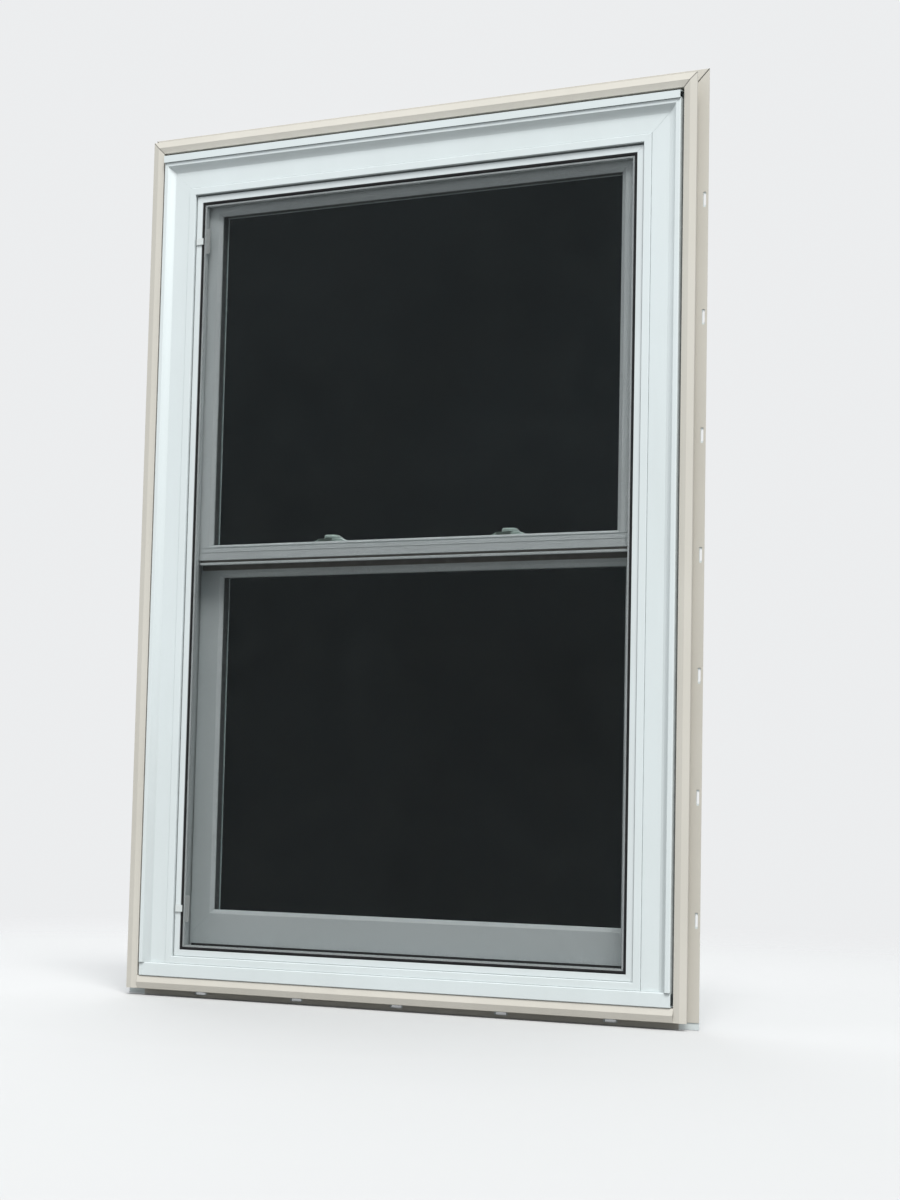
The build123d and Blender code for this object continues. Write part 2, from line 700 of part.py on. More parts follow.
def make_screen():
    """Four tubes, their corner keys, the mesh, the spline and two sprung plungers."""
    for side, name in (("head", "rail_head"), ("sill", "rail_sill"), ("right", "stile_right")):
        with BuildPart() as tube:
            bar(draw_screen_frame, side, SCREEN_SIGHT, SCREEN_OUTER)
        write(tube, f"screen_{name}")

    outer_x = -SCREEN_OUTER.half_width
    hole_radius = PLUNGER_RADIUS + PLUNGER_RUNNING_GAP
    with BuildPart() as stile:
        bar(draw_screen_frame, "left", SCREEN_SIGHT, SCREEN_OUTER)
        for z in PLUNGER_HEIGHTS:
            with Locations(Location((outer_x, PLUNGER_Y, z), (0, 90, 0))):
                Cylinder(hole_radius, 2 * SCREEN_WALL + GUIDE_GAP, mode=Mode.SUBTRACT)
            block(
                (-NECK_OUTER_X - GUIDE_GAP, SCREEN_FRONT_Y, z - PLUNGER_NECK / 2 - GUIDE_GAP),
                (
                    -NECK_OUTER_X + PLUNGER_NECK + PLUNGER_TRAVEL + GUIDE_GAP,
                    SCREEN_FRONT_Y + SCREEN_WALL,
                    z + PLUNGER_NECK / 2 + GUIDE_GAP,
                ),
                mode=Mode.SUBTRACT,
            )
    write(stile, "screen_stile_left")

    inner = SCREEN_SIGHT.grown(TUBE_FROM_SIGHT + SCREEN_WALL + KEY_GAP)
    outer = SCREEN_OUTER.grown(-SCREEN_WALL - KEY_GAP)
    key_front = SCREEN_FRONT_Y + SCREEN_WALL + KEY_GAP
    key_back = STOP_FRONT_Y - SCREEN_WALL - KEY_GAP
    with BuildPart() as keys:
        with BuildSketch(Plane.XZ.offset(-key_back)):
            for x_sign in (-1, 1):
                for z_inner, z_outer, z_sign in ((inner.low, outer.low, -1), (inner.high, outer.high, 1)):
                    x_inner = x_sign * inner.half_width
                    x_outer = x_sign * outer.half_width
                    polygon(
                        (x_outer, z_outer),
                        (x_outer, z_outer - z_sign * KEY_LEG),
                        (x_inner, z_outer - z_sign * KEY_LEG),
                        (x_inner, z_inner),
                        (x_outer - x_sign * KEY_LEG, z_inner),
                        (x_outer - x_sign * KEY_LEG, z_outer),
                    )
        extrude(amount=key_back - key_front)
    write(keys, "screen_corner_keys")

    cloth = SCREEN_SIGHT.grown(SCREEN_LIP)
    with BuildPart() as mesh:
        block(
            (-cloth.half_width, LIP_FRONT_Y - MESH_THICKNESS, cloth.low),
            (cloth.half_width, LIP_FRONT_Y, cloth.high),
        )
    write(mesh, "screen_mesh")

    spline_inner = cloth.grown((GROOVE_WIDTH - SPLINE_WIDTH) / 2)
    spline_outer = spline_inner.grown(SPLINE_WIDTH)
    groove_floor = SCREEN_FRONT_Y + GROOVE_DEPTH
    with BuildPart() as spline:
        with BuildSketch(Plane.XZ.offset(-groove_floor)):
            for ring, mode in ((spline_outer, Mode.ADD), (spline_inner, Mode.SUBTRACT)):
                rectangle(-ring.half_width, ring.low, ring.half_width, ring.high, mode=mode)
        extrude(amount=GROOVE_DEPTH - SPLINE_PROUD)
        chamfer(spline.faces().sort_by(Axis.Y)[0].edges(), length=SPLINE_PROUD)
    write(spline, "screen_spline")

    pin_tip = SCREEN_OUTER.half_width + SCREEN_GAP + PLUNGER_TRAVEL - GUIDE_GAP
    collar_outer = SCREEN_OUTER.half_width - SCREEN_WALL - GUIDE_GAP
    collar_inner = collar_outer - PLUNGER_NECK - GUIDE_GAP
    collar_half = SCREEN_DEPTH / 2 - 2 * SCREEN_WALL
    for name, z in zip(("lower", "upper"), PLUNGER_HEIGHTS):
        with BuildPart() as plunger:
            with Locations(Location((-(pin_tip + collar_inner) / 2, PLUNGER_Y, z), (0, 90, 0))):
                Cylinder(PLUNGER_RADIUS, pin_tip - collar_inner)
            block(
                (-collar_outer, SCREEN_FRONT_Y + SCREEN_WALL + GUIDE_GAP, z - collar_half),
                (-collar_inner, STOP_FRONT_Y - SCREEN_WALL - GUIDE_GAP, z + collar_half),
            )
            block(
                (-NECK_OUTER_X, SCREEN_FRONT_Y - GUIDE_GAP, z - PLUNGER_NECK / 2),
                (-NECK_OUTER_X + PLUNGER_NECK, PLUNGER_Y, z + PLUNGER_NECK / 2),
            )
            tab_front = SCREEN_FRONT_Y - GUIDE_GAP - PLUNGER_TAB_THICKNESS
            block(
                (-NECK_OUTER_X, tab_front, z - PLUNGER_TAB_HEIGHT / 2),
                (
                    -NECK_OUTER_X + PLUNGER_TAB_LENGTH,
                    SCREEN_FRONT_Y - GUIDE_GAP,
                    z + PLUNGER_TAB_HEIGHT / 2,
                ),
            )
            fillet(plunger.edges().filter_by(Axis.Y).group_by(SortBy.LENGTH)[0], radius=PLUNGER_NECK / 4)
        write(plunger, f"screen_plunger_{name}")


# Sashes

def draw_sash(width):
    """Sash section: bevelled outer lip, glazing rebate, bead rebate and two chambers."""
    rebate = GLASS_BITE + GLASS_EDGE_GAP
    polygon(
        (0, LIP_BEVEL),
        (0, LIP_DEPTH),
        (rebate, LIP_DEPTH),
        (rebate, BEAD_Y),
        (BEAD_WIDTH, BEAD_Y),
        (BEAD_WIDTH, SASH_THICKNESS),
        (width, SASH_THICKNESS),
        (width, 0),
        (LIP_BEVEL_WIDTH, 0),
    )
    outer = width - SASH_WALL
    web = SASH_THICKNESS / 2
    rectangle(rebate + SASH_WALL, SASH_WALL, outer, web - SASH_WALL / 2, mode=Mode.SUBTRACT)
    polygon(
        (rebate + SASH_WALL, web + SASH_WALL / 2),
        (rebate + SASH_WALL, BEAD_Y - SASH_WALL),
        (BEAD_WIDTH + SASH_WALL, BEAD_Y - SASH_WALL),
        (BEAD_WIDTH + SASH_WALL, SASH_THICKNESS - SASH_WALL),
        (outer, SASH_THICKNESS - SASH_WALL),
        (outer, web + SASH_WALL / 2),
        mode=Mode.SUBTRACT,
    )


def draw_bead():
    """Glazing bead that snaps in against the inner pane."""
    slope = SASH_THICKNESS - BEAD_Y
    polygon(
        (BEAD_SET_BACK, BEAD_Y),
        (BEAD_SET_BACK, BEAD_Y + slope / 4),
        (BEAD_SET_BACK + slope * 3 / 4, SASH_THICKNESS),
        (BEAD_WIDTH, SASH_THICKNESS),
        (BEAD_WIDTH, BEAD_Y),
    )


def draw_lift():
    """Finger lift: a shelf off the bottom rail with a hanging lip."""
    top = LIFT_BELOW_SIGHT
    reach = SASH_THICKNESS + LIFT_REACH
    polygon(
        (top, SASH_THICKNESS - SASH_WALL / 2),
        (top, reach),
        (top + LIFT_LIP, reach),
        (top + LIFT_LIP, reach - LIFT_WALL),
        (top + LIFT_WALL, reach - LIFT_WALL),
        (top + LIFT_WALL, SASH_THICKNESS - SASH_WALL / 2),
    )


def cut_latch_seats(outer, sash_y):
    """Open the channels for the tilt latches in the top corners of a sash."""
    middle = pocket_y(sash_y)
    inner_x = outer.half_width - LATCH_BODY - LATCH_TRAVEL - GUIDE_GAP
    for sign in (-1, 1):
        xs = sorted((sign * inner_x, sign * outer.half_width))
        block(
            (xs[0], middle - POCKET_SLOT / 2, outer.high - LATCH_DEPTH),
            (xs[1], middle + POCKET_SLOT / 2, outer.high),
            mode=Mode.SUBTRACT,
        )


def cut_pivot_seats(outer, sash_y):
    """Open the seats for the pivot bars in the bottom corners of a sash."""
    middle = pocket_y(sash_y)
    z = outer.low + PIVOT_ABOVE_BOTTOM
    for sign in (-1, 1):
        xs = sorted((sign * (outer.half_width - PIVOT_INNER), sign * outer.half_width))
        block(
            (xs[0], middle - PIVOT_WIDTH / 2 - PIVOT_SEAT_GAP, z - PIVOT_THICKNESS / 2),
            (xs[1], middle + PIVOT_WIDTH / 2 + PIVOT_SEAT_GAP, z + PIVOT_THICKNESS / 2 + PIVOT_SEAT_GAP),
            mode=Mode.SUBTRACT,
        )


def make_sash(name, sight, outer, sash_y, rail_names, tab_height):
    """One sash with its members, glazing, latches, pivot bars and balance shoes."""
    members = {
        "head": (f"{name}_sash_{rail_names[0]}", outer.high - sight.high),
        "sill": (f"{name}_sash_{rail_names[1]}", sight.low - outer.low),
        "left": (f"{name}_sash_stile_left", outer.half_width - sight.half_width),
        "right": (f"{name}_sash_stile_right", outer.half_width - sight.half_width),
    }
    for side, (label, width) in members.items():
        with BuildPart() as member:
            bar(lambda: draw_sash(width), side, sight, outer, y=sash_y)
            if label == "lower_sash_bottom_rail":
                lift = Ring(sight.half_width - LIFT_END_INSET, outer.low, outer.high)
                bar(draw_lift, "sill", sight, lift, y=sash_y, square=("left", "right"))
            cut_latch_seats(outer, sash_y)
            cut_pivot_seats(outer, sash_y)
        write(member, label)

    glass = sight.grown(GLASS_BITE)
    for label, depth in (("outer_pane", GLASS_Y), ("inner_pane", GLASS_Y + PANE + PANE_GAP)):
        with BuildPart() as pane:
            block(
                (-glass.half_width, sash_y + depth, glass.low),
                (glass.half_width, sash_y + depth + PANE, glass.high),
            )
        write(pane, f"{name}_{label}")

    spacer_outer = glass.grown(-SPACER_INSET)
    spacer_inner = spacer_outer.grown(-SPACER_WIDTH)
    with BuildPart() as spacer:
        with BuildSketch(Plane.XZ.offset(-sash_y - GLASS_Y - PANE)):
            for ring, mode in ((spacer_outer, Mode.ADD), (spacer_inner, Mode.SUBTRACT)):
                rectangle(-ring.half_width, ring.low, ring.half_width, ring.high, mode=mode)
        extrude(amount=-PANE_GAP)
    write(spacer, f"{name}_spacer")

    with BuildPart() as beads:
        for side in members:
            bar(draw_bead, side, sight, sight.grown(BEAD_WIDTH), y=sash_y, mitre_gap=BEAD_JOINT_GAP)
    write(beads, f"{name}_glazing_beads")

    make_latches(name, outer, sash_y, tab_height)
    make_pivots_and_shoes(name, outer, sash_y)


def make_latches(name, outer, sash_y, tab_height):
    """Two sprung tilt latches: a bolt with a bevelled nose and a thumb tab."""
    middle = pocket_y(sash_y)
    half_width = POCKET_SLOT / 2 - GUIDE_GAP
    low = outer.high - LATCH_DEPTH + GUIDE_GAP
    high = outer.high - GUIDE_GAP
    for side, sign in (("left", -1), ("right", 1)):
        tip = outer.half_width + LATCH_BOLT
        root = outer.half_width - LATCH_BODY
        with BuildPart() as latch:
            with BuildSketch(Plane.XY.offset(low)):
                polygon(
                    (sign * root, middle - half_width),
                    (sign * (tip - LATCH_BOLT), middle - half_width),
                    (sign * tip, middle - half_width + LATCH_NOSE_BEVEL),
                    (sign * tip, middle + half_width),
                    (sign * root, middle + half_width),
                )
            extrude(amount=high - low)
            tab_x = sorted((sign * (root + LATCH_TRAVEL), sign * (root + LATCH_TRAVEL + LATCH_TAB_LENGTH)))
            block(
                (tab_x[0], middle - half_width, high),
                (tab_x[1], middle + half_width, outer.high + tab_height),
            )
        write(latch, f"{name}_tilt_latch_{side}")


def make_pivots_and_shoes(name, outer, sash_y):
    """Pivot bars out of the sash's bottom corners and the balance shoes that carry them."""
    middle = pocket_y(sash_y)
    z = outer.low + PIVOT_ABOVE_BOTTOM
    inner_x = outer.half_width - PIVOT_INNER
    outer_x = outer.half_width + PIVOT_REACH
    with BuildPart() as pivots:
        for sign in (-1, 1):
            xs = sorted((sign * inner_x, sign * outer_x))
            block(
                (xs[0], middle - PIVOT_WIDTH / 2, z - PIVOT_THICKNESS / 2),
                (xs[1], middle + PIVOT_WIDTH / 2, z + PIVOT_THICKNESS / 2),
            )
    write(pivots, f"{name}_pivot_bars")

    shoe_half = POCKET_WIDTH / 2 - GUIDE_GAP
    shoe_inner = TRACK_HALF_WIDTH + FRAME_WALL + GUIDE_GAP
    shoe_outer = POCKET_OUTER_X - GUIDE_GAP
    shoe_top = z - SHOE_BELOW_PIVOT + SHOE_HEIGHT
    with BuildPart() as shoes:
        for sign in (-1, 1):
            xs = sorted((sign * shoe_inner, sign * shoe_outer))
            block(
                (xs[0], middle - shoe_half, z - SHOE_BELOW_PIVOT),
                (xs[1], middle + shoe_half, shoe_top),
            )
        chamfer(shoes.edges().filter_by(Axis.Y), length=SHOE_CHAMFER)
        for sign in (-1, 1):
            xs = sorted((sign * shoe_inner, sign * (outer_x + GUIDE_GAP)))
            block(
                (xs[0], middle - PIVOT_WIDTH / 2 - GUIDE_GAP, z - PIVOT_THICKNESS / 2),
                (xs[1], middle + PIVOT_WIDTH / 2 + GUIDE_GAP, z + PIVOT_THICKNESS / 2 + GUIDE_GAP),
                mode=Mode.SUBTRACT,
            )
    write(shoes, f"{name}_balance_shoes")


def make_balances(name, outer, sash_y, coil_z):
    """Rolled springs on their hubs and the tapes that run down to the shoes."""
    middle = pocket_y(sash_y)
    shoe_top = outer.low + PIVOT_ABOVE_BOTTOM - SHOE_BELOW_PIVOT + SHOE_HEIGHT
    for side, sign in (("left", -1), ("right", 1)):
        with BuildPart() as coil:
            with Locations(Location((sign * COIL_X, middle, coil_z), (90, 0, 0))):
                Cylinder(COIL_RADIUS, COIL_WIDTH)
                Cylinder(COIL_HUB_RADIUS + COIL_RUNNING_GAP, COIL_WIDTH, mode=Mode.SUBTRACT)
        write(coil, f"{name}_balance_coil_{side}")

    tape_outer = COIL_X + COIL_RADIUS + GUIDE_GAP + TAPE_THICKNESS
    with BuildPart() as tapes:
        for sign in (-1, 1):
            xs = sorted((sign * (tape_outer - TAPE_THICKNESS), sign * tape_outer))
            block(
                (xs[0], middle - COIL_WIDTH / 2, shoe_top),
                (xs[1], middle + COIL_WIDTH / 2, coil_z),
            )
    write(tapes, f"{name}_balance_tapes")


def make_carriers():
    """Cradles fixed in the pockets, each with the hub that a rolled spring turns on."""
    half_width = POCKET_WIDTH / 2
    slot_half = COIL_WIDTH / 2 + GUIDE_GAP
    inner_x = TRACK_HALF_WIDTH + CARRIER_INNER_V
    springs = ((UPPER_SASH_Y, MIDDLE_Z + UPPER_COIL_Z), (LOWER_SASH_Y, MIDDLE_Z + LOWER_COIL_Z))
    with BuildPart() as carriers:
        for sash_y, coil_z in springs:
            middle = pocket_y(sash_y)
            low = coil_z - COIL_RADIUS - GUIDE_GAP
            for sign in (-1, 1):
                xs = sorted((sign * inner_x, sign * POCKET_OUTER_X))
                block((xs[0], middle - half_width, low), (xs[1], middle + half_width, low + CARRIER_HEIGHT))
                block(
                    (xs[0], middle - slot_half, low),
                    (xs[1], middle + slot_half, coil_z + COIL_RADIUS + GUIDE_GAP),
                    mode=Mode.SUBTRACT,
                )
                with Locations(Location((sign * COIL_X, middle, coil_z), (90, 0, 0))):
                    Cylinder(COIL_HUB_RADIUS, 2 * slot_half)
    write(carriers, "balance_carriers")


# Meeting rail hardware

def make_interlocks():
    """Hooked strips in the gap between the meeting rails: one opens down, the other up."""
    upper_face = UPPER_SASH_Y + SASH_THICKNESS
    upper_low = MIDDLE_Z + UPPER_INTERLOCK_Z
    upper_points = [
        (upper_face, upper_low),
        (upper_face + INTERLOCK_REACH, upper_low),
        (upper_face + INTERLOCK_REACH, upper_low + INTERLOCK_HOOK),
        (upper_face + INTERLOCK_REACH - INTERLOCK_WALL, upper_low + INTERLOCK_HOOK),
        (upper_face + INTERLOCK_REACH - INTERLOCK_WALL, upper_low + INTERLOCK_WALL),
        (upper_face + INTERLOCK_WALL, upper_low + INTERLOCK_WALL),
        (upper_face + INTERLOCK_WALL, upper_low + INTERLOCK_HOOK),
        (upper_face, upper_low + INTERLOCK_HOOK),
    ]
    lower_high = MIDDLE_Z + LOWER_INTERLOCK_Z
    middle_y = upper_face + SASH_GAP / 2
    middle_z = (upper_low + lower_high) / 2
    lower_points = [(2 * middle_y - y, 2 * middle_z - z) for y, z in upper_points]
    for name, points in (("upper", upper_points), ("lower", lower_points)):
        with BuildPart() as strip:
            with BuildSketch(Plane.YZ):
                polygon(*points)
            extrude(amount=UPPER_OUTER.half_width - INTERLOCK_END_INSET, both=True)
        write(strip, f"{name}_interlock")


def make_locks():
    """Two cam locks on the lower sash and their keepers on the upper sash."""
    top = LOWER_OUTER.high
    lock_y = LOWER_SASH_Y + LOCK_INSET
    cam_low = top + CAM_LOW
    cam_high = cam_low + CAM_THICKNESS
    base_top = top + LOCK_BASE_HEIGHT
    with BuildPart() as bases:
        with BuildSketch(Plane.XY.offset(top)):
            with Locations((-LOCK_X, lock_y), (LOCK_X, lock_y)):
                SlotOverall(LOCK_BASE_LENGTH, LOCK_BASE_WIDTH)
        extrude(amount=LOCK_BASE_HEIGHT)
        with BuildSketch(Plane.XZ.offset(-lock_y)):
            for x in (-LOCK_X, LOCK_X):
                polygon(
                    (x - LOCK_BASE_LENGTH / 2, top),
                    (x - LOCK_BASE_LENGTH / 2, top + LOCK_END_HEIGHT),
                    (x - LOCK_CROWN_LENGTH / 2, base_top),
                    (x + LOCK_CROWN_LENGTH / 2, base_top),
                    (x + LOCK_BASE_LENGTH / 2, top + LOCK_END_HEIGHT),
                    (x + LOCK_BASE_LENGTH / 2, top),
                )
        extrude(amount=LOCK_BASE_WIDTH, both=True, mode=Mode.INTERSECT)
        crowns = bases.faces().filter_by(Axis.Z).group_by(Axis.Z)[-1]
        chamfer(crowns.edges().filter_by(Axis.X), length=LOCK_EDGE)
        with BuildSketch(Plane.XY.offset(cam_low - GUIDE_GAP)):
            with Locations((-LOCK_X, lock_y), (LOCK_X, lock_y)):
                Circle(CAM_REACH + GUIDE_GAP)
            rectangle(
                -LOCK_X - CAM_REACH - GUIDE_GAP,
                lock_y + CAM_HUB_RADIUS + GUIDE_GAP,
                LOCK_X + CAM_REACH + GUIDE_GAP,
                lock_y + CAM_REACH + GUIDE_GAP,
                mode=Mode.SUBTRACT,
            )
        extrude(amount=CAM_THICKNESS + 2 * GUIDE_GAP, mode=Mode.SUBTRACT)
        with Locations((-LOCK_X, lock_y, base_top), (LOCK_X, lock_y, base_top)):
            Cylinder(
                CAM_SHAFT_RADIUS + CAM_RUNNING_GAP,
                2 * (base_top - cam_high),
                mode=Mode.SUBTRACT,
            )
    write(bases, "lock_bases")

    for side, sign in (("left", -1), ("right", 1)):
        x = sign * LOCK_X
        with BuildPart() as cam:
            with BuildSketch(Plane.XY.offset(cam_low)):
                with Locations((x, lock_y)):
                    Circle(CAM_HUB_RADIUS)
                with Locations((x + (CAM_REACH - CAM_WIDTH / 2) / 2, lock_y)):
                    SlotOverall(CAM_REACH + CAM_WIDTH / 2, CAM_WIDTH)
            extrude(amount=CAM_THICKNESS)
            with BuildSketch(Plane.XY.offset(cam_high)):
                with Locations((x, lock_y)):
                    Circle(CAM_SHAFT_RADIUS)
            extrude(amount=base_top + GUIDE_GAP - cam_high)
            with BuildSketch(Plane.XY.offset(base_top + GUIDE_GAP)):
                with Locations((x, lock_y)):
                    Circle(LEVER_ROOT)
                with Locations((x, lock_y + LEVER_LENGTH - LEVER_TIP)):
                    Circle(LEVER_TIP)
                polygon(
                    (x - LEVER_ROOT, lock_y),
                    (x + LEVER_ROOT, lock_y),
                    (x + LEVER_TIP, lock_y + LEVER_LENGTH - LEVER_TIP),
                    (x - LEVER_TIP, lock_y + LEVER_LENGTH - LEVER_TIP),
                )
            extrude(amount=LEVER_THICKNESS)
            chamfer(cam.faces().sort_by(Axis.Z)[-1].edges(), length=LEVER_THICKNESS / 4)
        write(cam, f"lock_cam_{side}")

    keeper_back = UPPER_SASH_Y + BEAD_Y
    keeper_front = keeper_back + KEEPER_DEPTH
    keeper_low = UPPER_SIGHT.low - BEAD_SET_BACK
    with BuildPart() as keepers:
        for x in (-LOCK_X, LOCK_X):
            low = (x - KEEPER_LENGTH / 2, keeper_back, keeper_low)
            high = (x + KEEPER_LENGTH / 2, keeper_front, keeper_low + KEEPER_HEIGHT)
            block(low, high)
            block(
                (low[0], keeper_back + KEEPER_WALL, keeper_low + KEEPER_WALL),
                (high[0], keeper_front, high[2] - KEEPER_WALL),
                mode=Mode.SUBTRACT,
            )
            block(
                (low[0], keeper_front, keeper_low - KEEPER_LEG),
                (high[0], keeper_front + KEEPER_LEG_THICKNESS, keeper_low + KEEPER_WALL),
            )
    write(keepers, "lock_keepers")


def make_sill_seal():
    """Hollow bulb under the bottom rail, just clear of the sloping floor."""
    y = LOWER_SASH_Y + SEAL_INSET
    top = LOWER_OUTER.low
    with BuildPart() as seal:
        with BuildSketch(Plane.YZ):
            rectangle(y - SEAL_FLANGE / 2, top - SEAL_WALL, y + SEAL_FLANGE / 2, top)
            with Locations((y, top - SEAL_WALL - SEAL_RADIUS + SEAL_WALL / 2)):
                Circle(SEAL_RADIUS)
                Circle(SEAL_RADIUS - SEAL_WALL, mode=Mode.SUBTRACT)
        extrude(amount=LOWER_OUTER.half_width, both=True)
    write(seal, "lower_sill_seal")


make_frame()
make_trim()
make_screen()
make_sash("upper", UPPER_SIGHT, UPPER_OUTER, UPPER_SASH_Y, ("top_rail", "meeting_rail"), UPPER_TAB_HEIGHT)
make_sash("lower", LOWER_SIGHT, LOWER_OUTER, LOWER_SASH_Y, ("meeting_rail", "bottom_rail"), LOWER_TAB_HEIGHT)
make_balances("upper", UPPER_OUTER, UPPER_SASH_Y, MIDDLE_Z + UPPER_COIL_Z)
make_balances("lower", LOWER_OUTER, LOWER_SASH_Y, MIDDLE_Z + LOWER_COIL_Z)
make_carriers()
make_interlocks()
make_locks()
make_sill_seal()
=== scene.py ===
"""Looks of a white vinyl sash window: finishes, softened members, screen cloth and small trim.

Everything is in metres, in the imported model's frame: +Z up, +Y from the outdoors into the room and
+X to the right as seen from outdoors.
"""

import logging
import math
from collections.abc import Callable, Iterator
from contextlib import contextmanager
from dataclasses import dataclass, replace
from enum import Enum

import bmesh
import bpy
from mathutils import Matrix, Vector


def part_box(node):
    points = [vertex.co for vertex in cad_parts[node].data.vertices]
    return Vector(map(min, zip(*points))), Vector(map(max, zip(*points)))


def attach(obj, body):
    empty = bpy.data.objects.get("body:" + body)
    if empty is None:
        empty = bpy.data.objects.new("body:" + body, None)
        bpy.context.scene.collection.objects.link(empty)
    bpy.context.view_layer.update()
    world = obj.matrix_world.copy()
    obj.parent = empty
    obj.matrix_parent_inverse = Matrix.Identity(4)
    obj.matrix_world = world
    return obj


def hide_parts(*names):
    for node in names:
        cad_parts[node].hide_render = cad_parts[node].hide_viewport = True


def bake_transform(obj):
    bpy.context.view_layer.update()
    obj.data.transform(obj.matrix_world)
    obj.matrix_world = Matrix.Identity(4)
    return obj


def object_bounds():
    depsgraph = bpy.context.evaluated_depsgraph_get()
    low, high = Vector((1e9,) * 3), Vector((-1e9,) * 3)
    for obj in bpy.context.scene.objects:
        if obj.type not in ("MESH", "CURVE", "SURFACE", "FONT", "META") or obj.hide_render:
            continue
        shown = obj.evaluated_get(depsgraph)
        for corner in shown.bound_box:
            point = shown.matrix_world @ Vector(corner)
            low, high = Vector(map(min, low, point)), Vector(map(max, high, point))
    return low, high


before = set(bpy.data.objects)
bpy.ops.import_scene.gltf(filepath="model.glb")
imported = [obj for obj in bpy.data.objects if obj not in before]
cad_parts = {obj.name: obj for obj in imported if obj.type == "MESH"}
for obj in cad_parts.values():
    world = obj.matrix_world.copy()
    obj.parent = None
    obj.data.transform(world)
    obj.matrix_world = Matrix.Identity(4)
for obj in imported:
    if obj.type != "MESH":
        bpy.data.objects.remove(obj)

LOG = logging.getLogger("sash_window")
CAD_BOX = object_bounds()
Colour = tuple[float, float, float]
Socket = bpy.types.NodeSocket
Piece = bpy.types.Object
Choice = Callable[[Vector, Vector], bool]
Span = tuple[float, float]


class Run(Enum):
    """Which way a member was extruded or rolled, and so which way its fine lines run."""

    UPRIGHT = (1.0, 1.0, 0.006)
    LEVEL = (0.006, 1.0, 1.0)
    NONE = (1.0, 1.0, 1.0)


class Part(Enum):
    """The operators' names for what edit mode selects."""

    EDGES = "EDGE"
    FACES = "FACE"


# Finishes


class NodeBench:
    """Lays out the nodes of one tree."""

    def __init__(self, tree: bpy.types.NodeTree) -> None:
        """Take up a tree."""
        self.tree = tree

    def node(self, kind: str, **inputs: object) -> bpy.types.Node:
        """Add a node and set its sockets.

        Args:
            kind: The node's type.
            **inputs: Values for its input sockets, with underscores for spaces.

        Returns:
            The new node.
        """
        made = self.tree.nodes.new(kind)
        for key, value in inputs.items():
            made.inputs[key.replace("_", " ")].default_value = value
        return made

    def link(self, source: Socket, target: Socket) -> None:
        """Join two sockets."""
        self.tree.links.new(source, target)

    def feed(self, given: Socket | Colour | float, target: Socket) -> None:
        """Give a socket what it takes.

        Args:
            given: Another socket, a colour or a number.
            target: The socket.
        """
        if isinstance(given, Socket):
            self.link(given, target)
        else:
            target.default_value = (*given, 1.0) if isinstance(given, tuple) else given

    def ranged(
        self, source: Socket, low: float, high: float, to_low: float = 0.0, to_high: float = 1.0
    ) -> Socket:
        """Map a value from one range to another, held inside the second.

        Args:
            source: The value.
            low: Start of its range.
            high: End of its range.
            to_low: What the start becomes.
            to_high: What the end becomes.

        Returns:
            The socket with the mapped value.
        """
        made = self.node(
            "ShaderNodeMapRange", From_Min=low, From_Max=high, To_Min=to_low, To_Max=to_high
        )
        self.link(source, made.inputs["Value"])
        return made.outputs["Result"]

    def worked(self, how: str, *values: Socket | float, held: bool = False) -> Socket:
        """Work out one value from others.

        Args:
            how: The operation's name, such as ADD.
            *values: What it works on, in order.
            held: Whether the result is held from 0 to 1.

        Returns:
            The socket with the result.
        """
        made = self.node("ShaderNodeMath")
        made.operation = how
        made.use_clamp = held
        for value, target in zip(values, made.inputs):
            self.feed(value, target)
        return made.outputs[0]

    def axis(self, source: Socket, name: str) -> Socket:
        """One axis of a vector.

        Args:
            source: The vector.
            name: The axis's capital letter.

        Returns:
            The socket with its value.
        """
        split = self.node("ShaderNodeSeparateXYZ")
        self.link(source, split.inputs["Vector"])
        return split.outputs[name]

    def show(self, share: Socket, first: Socket, second: Socket, output: str) -> None:
        """Show two shaders, mixed.

        Args:
            share: Share of the second.
            first: The first shader.
            second: The second shader.
            output: Name of the output node.
        """
        mix = self.node("ShaderNodeMixShader")
        for source, target in zip((share, first, second), mix.inputs):
            self.link(source, target)
        self.link(mix.outputs[0], self.tree.nodes[output].inputs["Surface"])


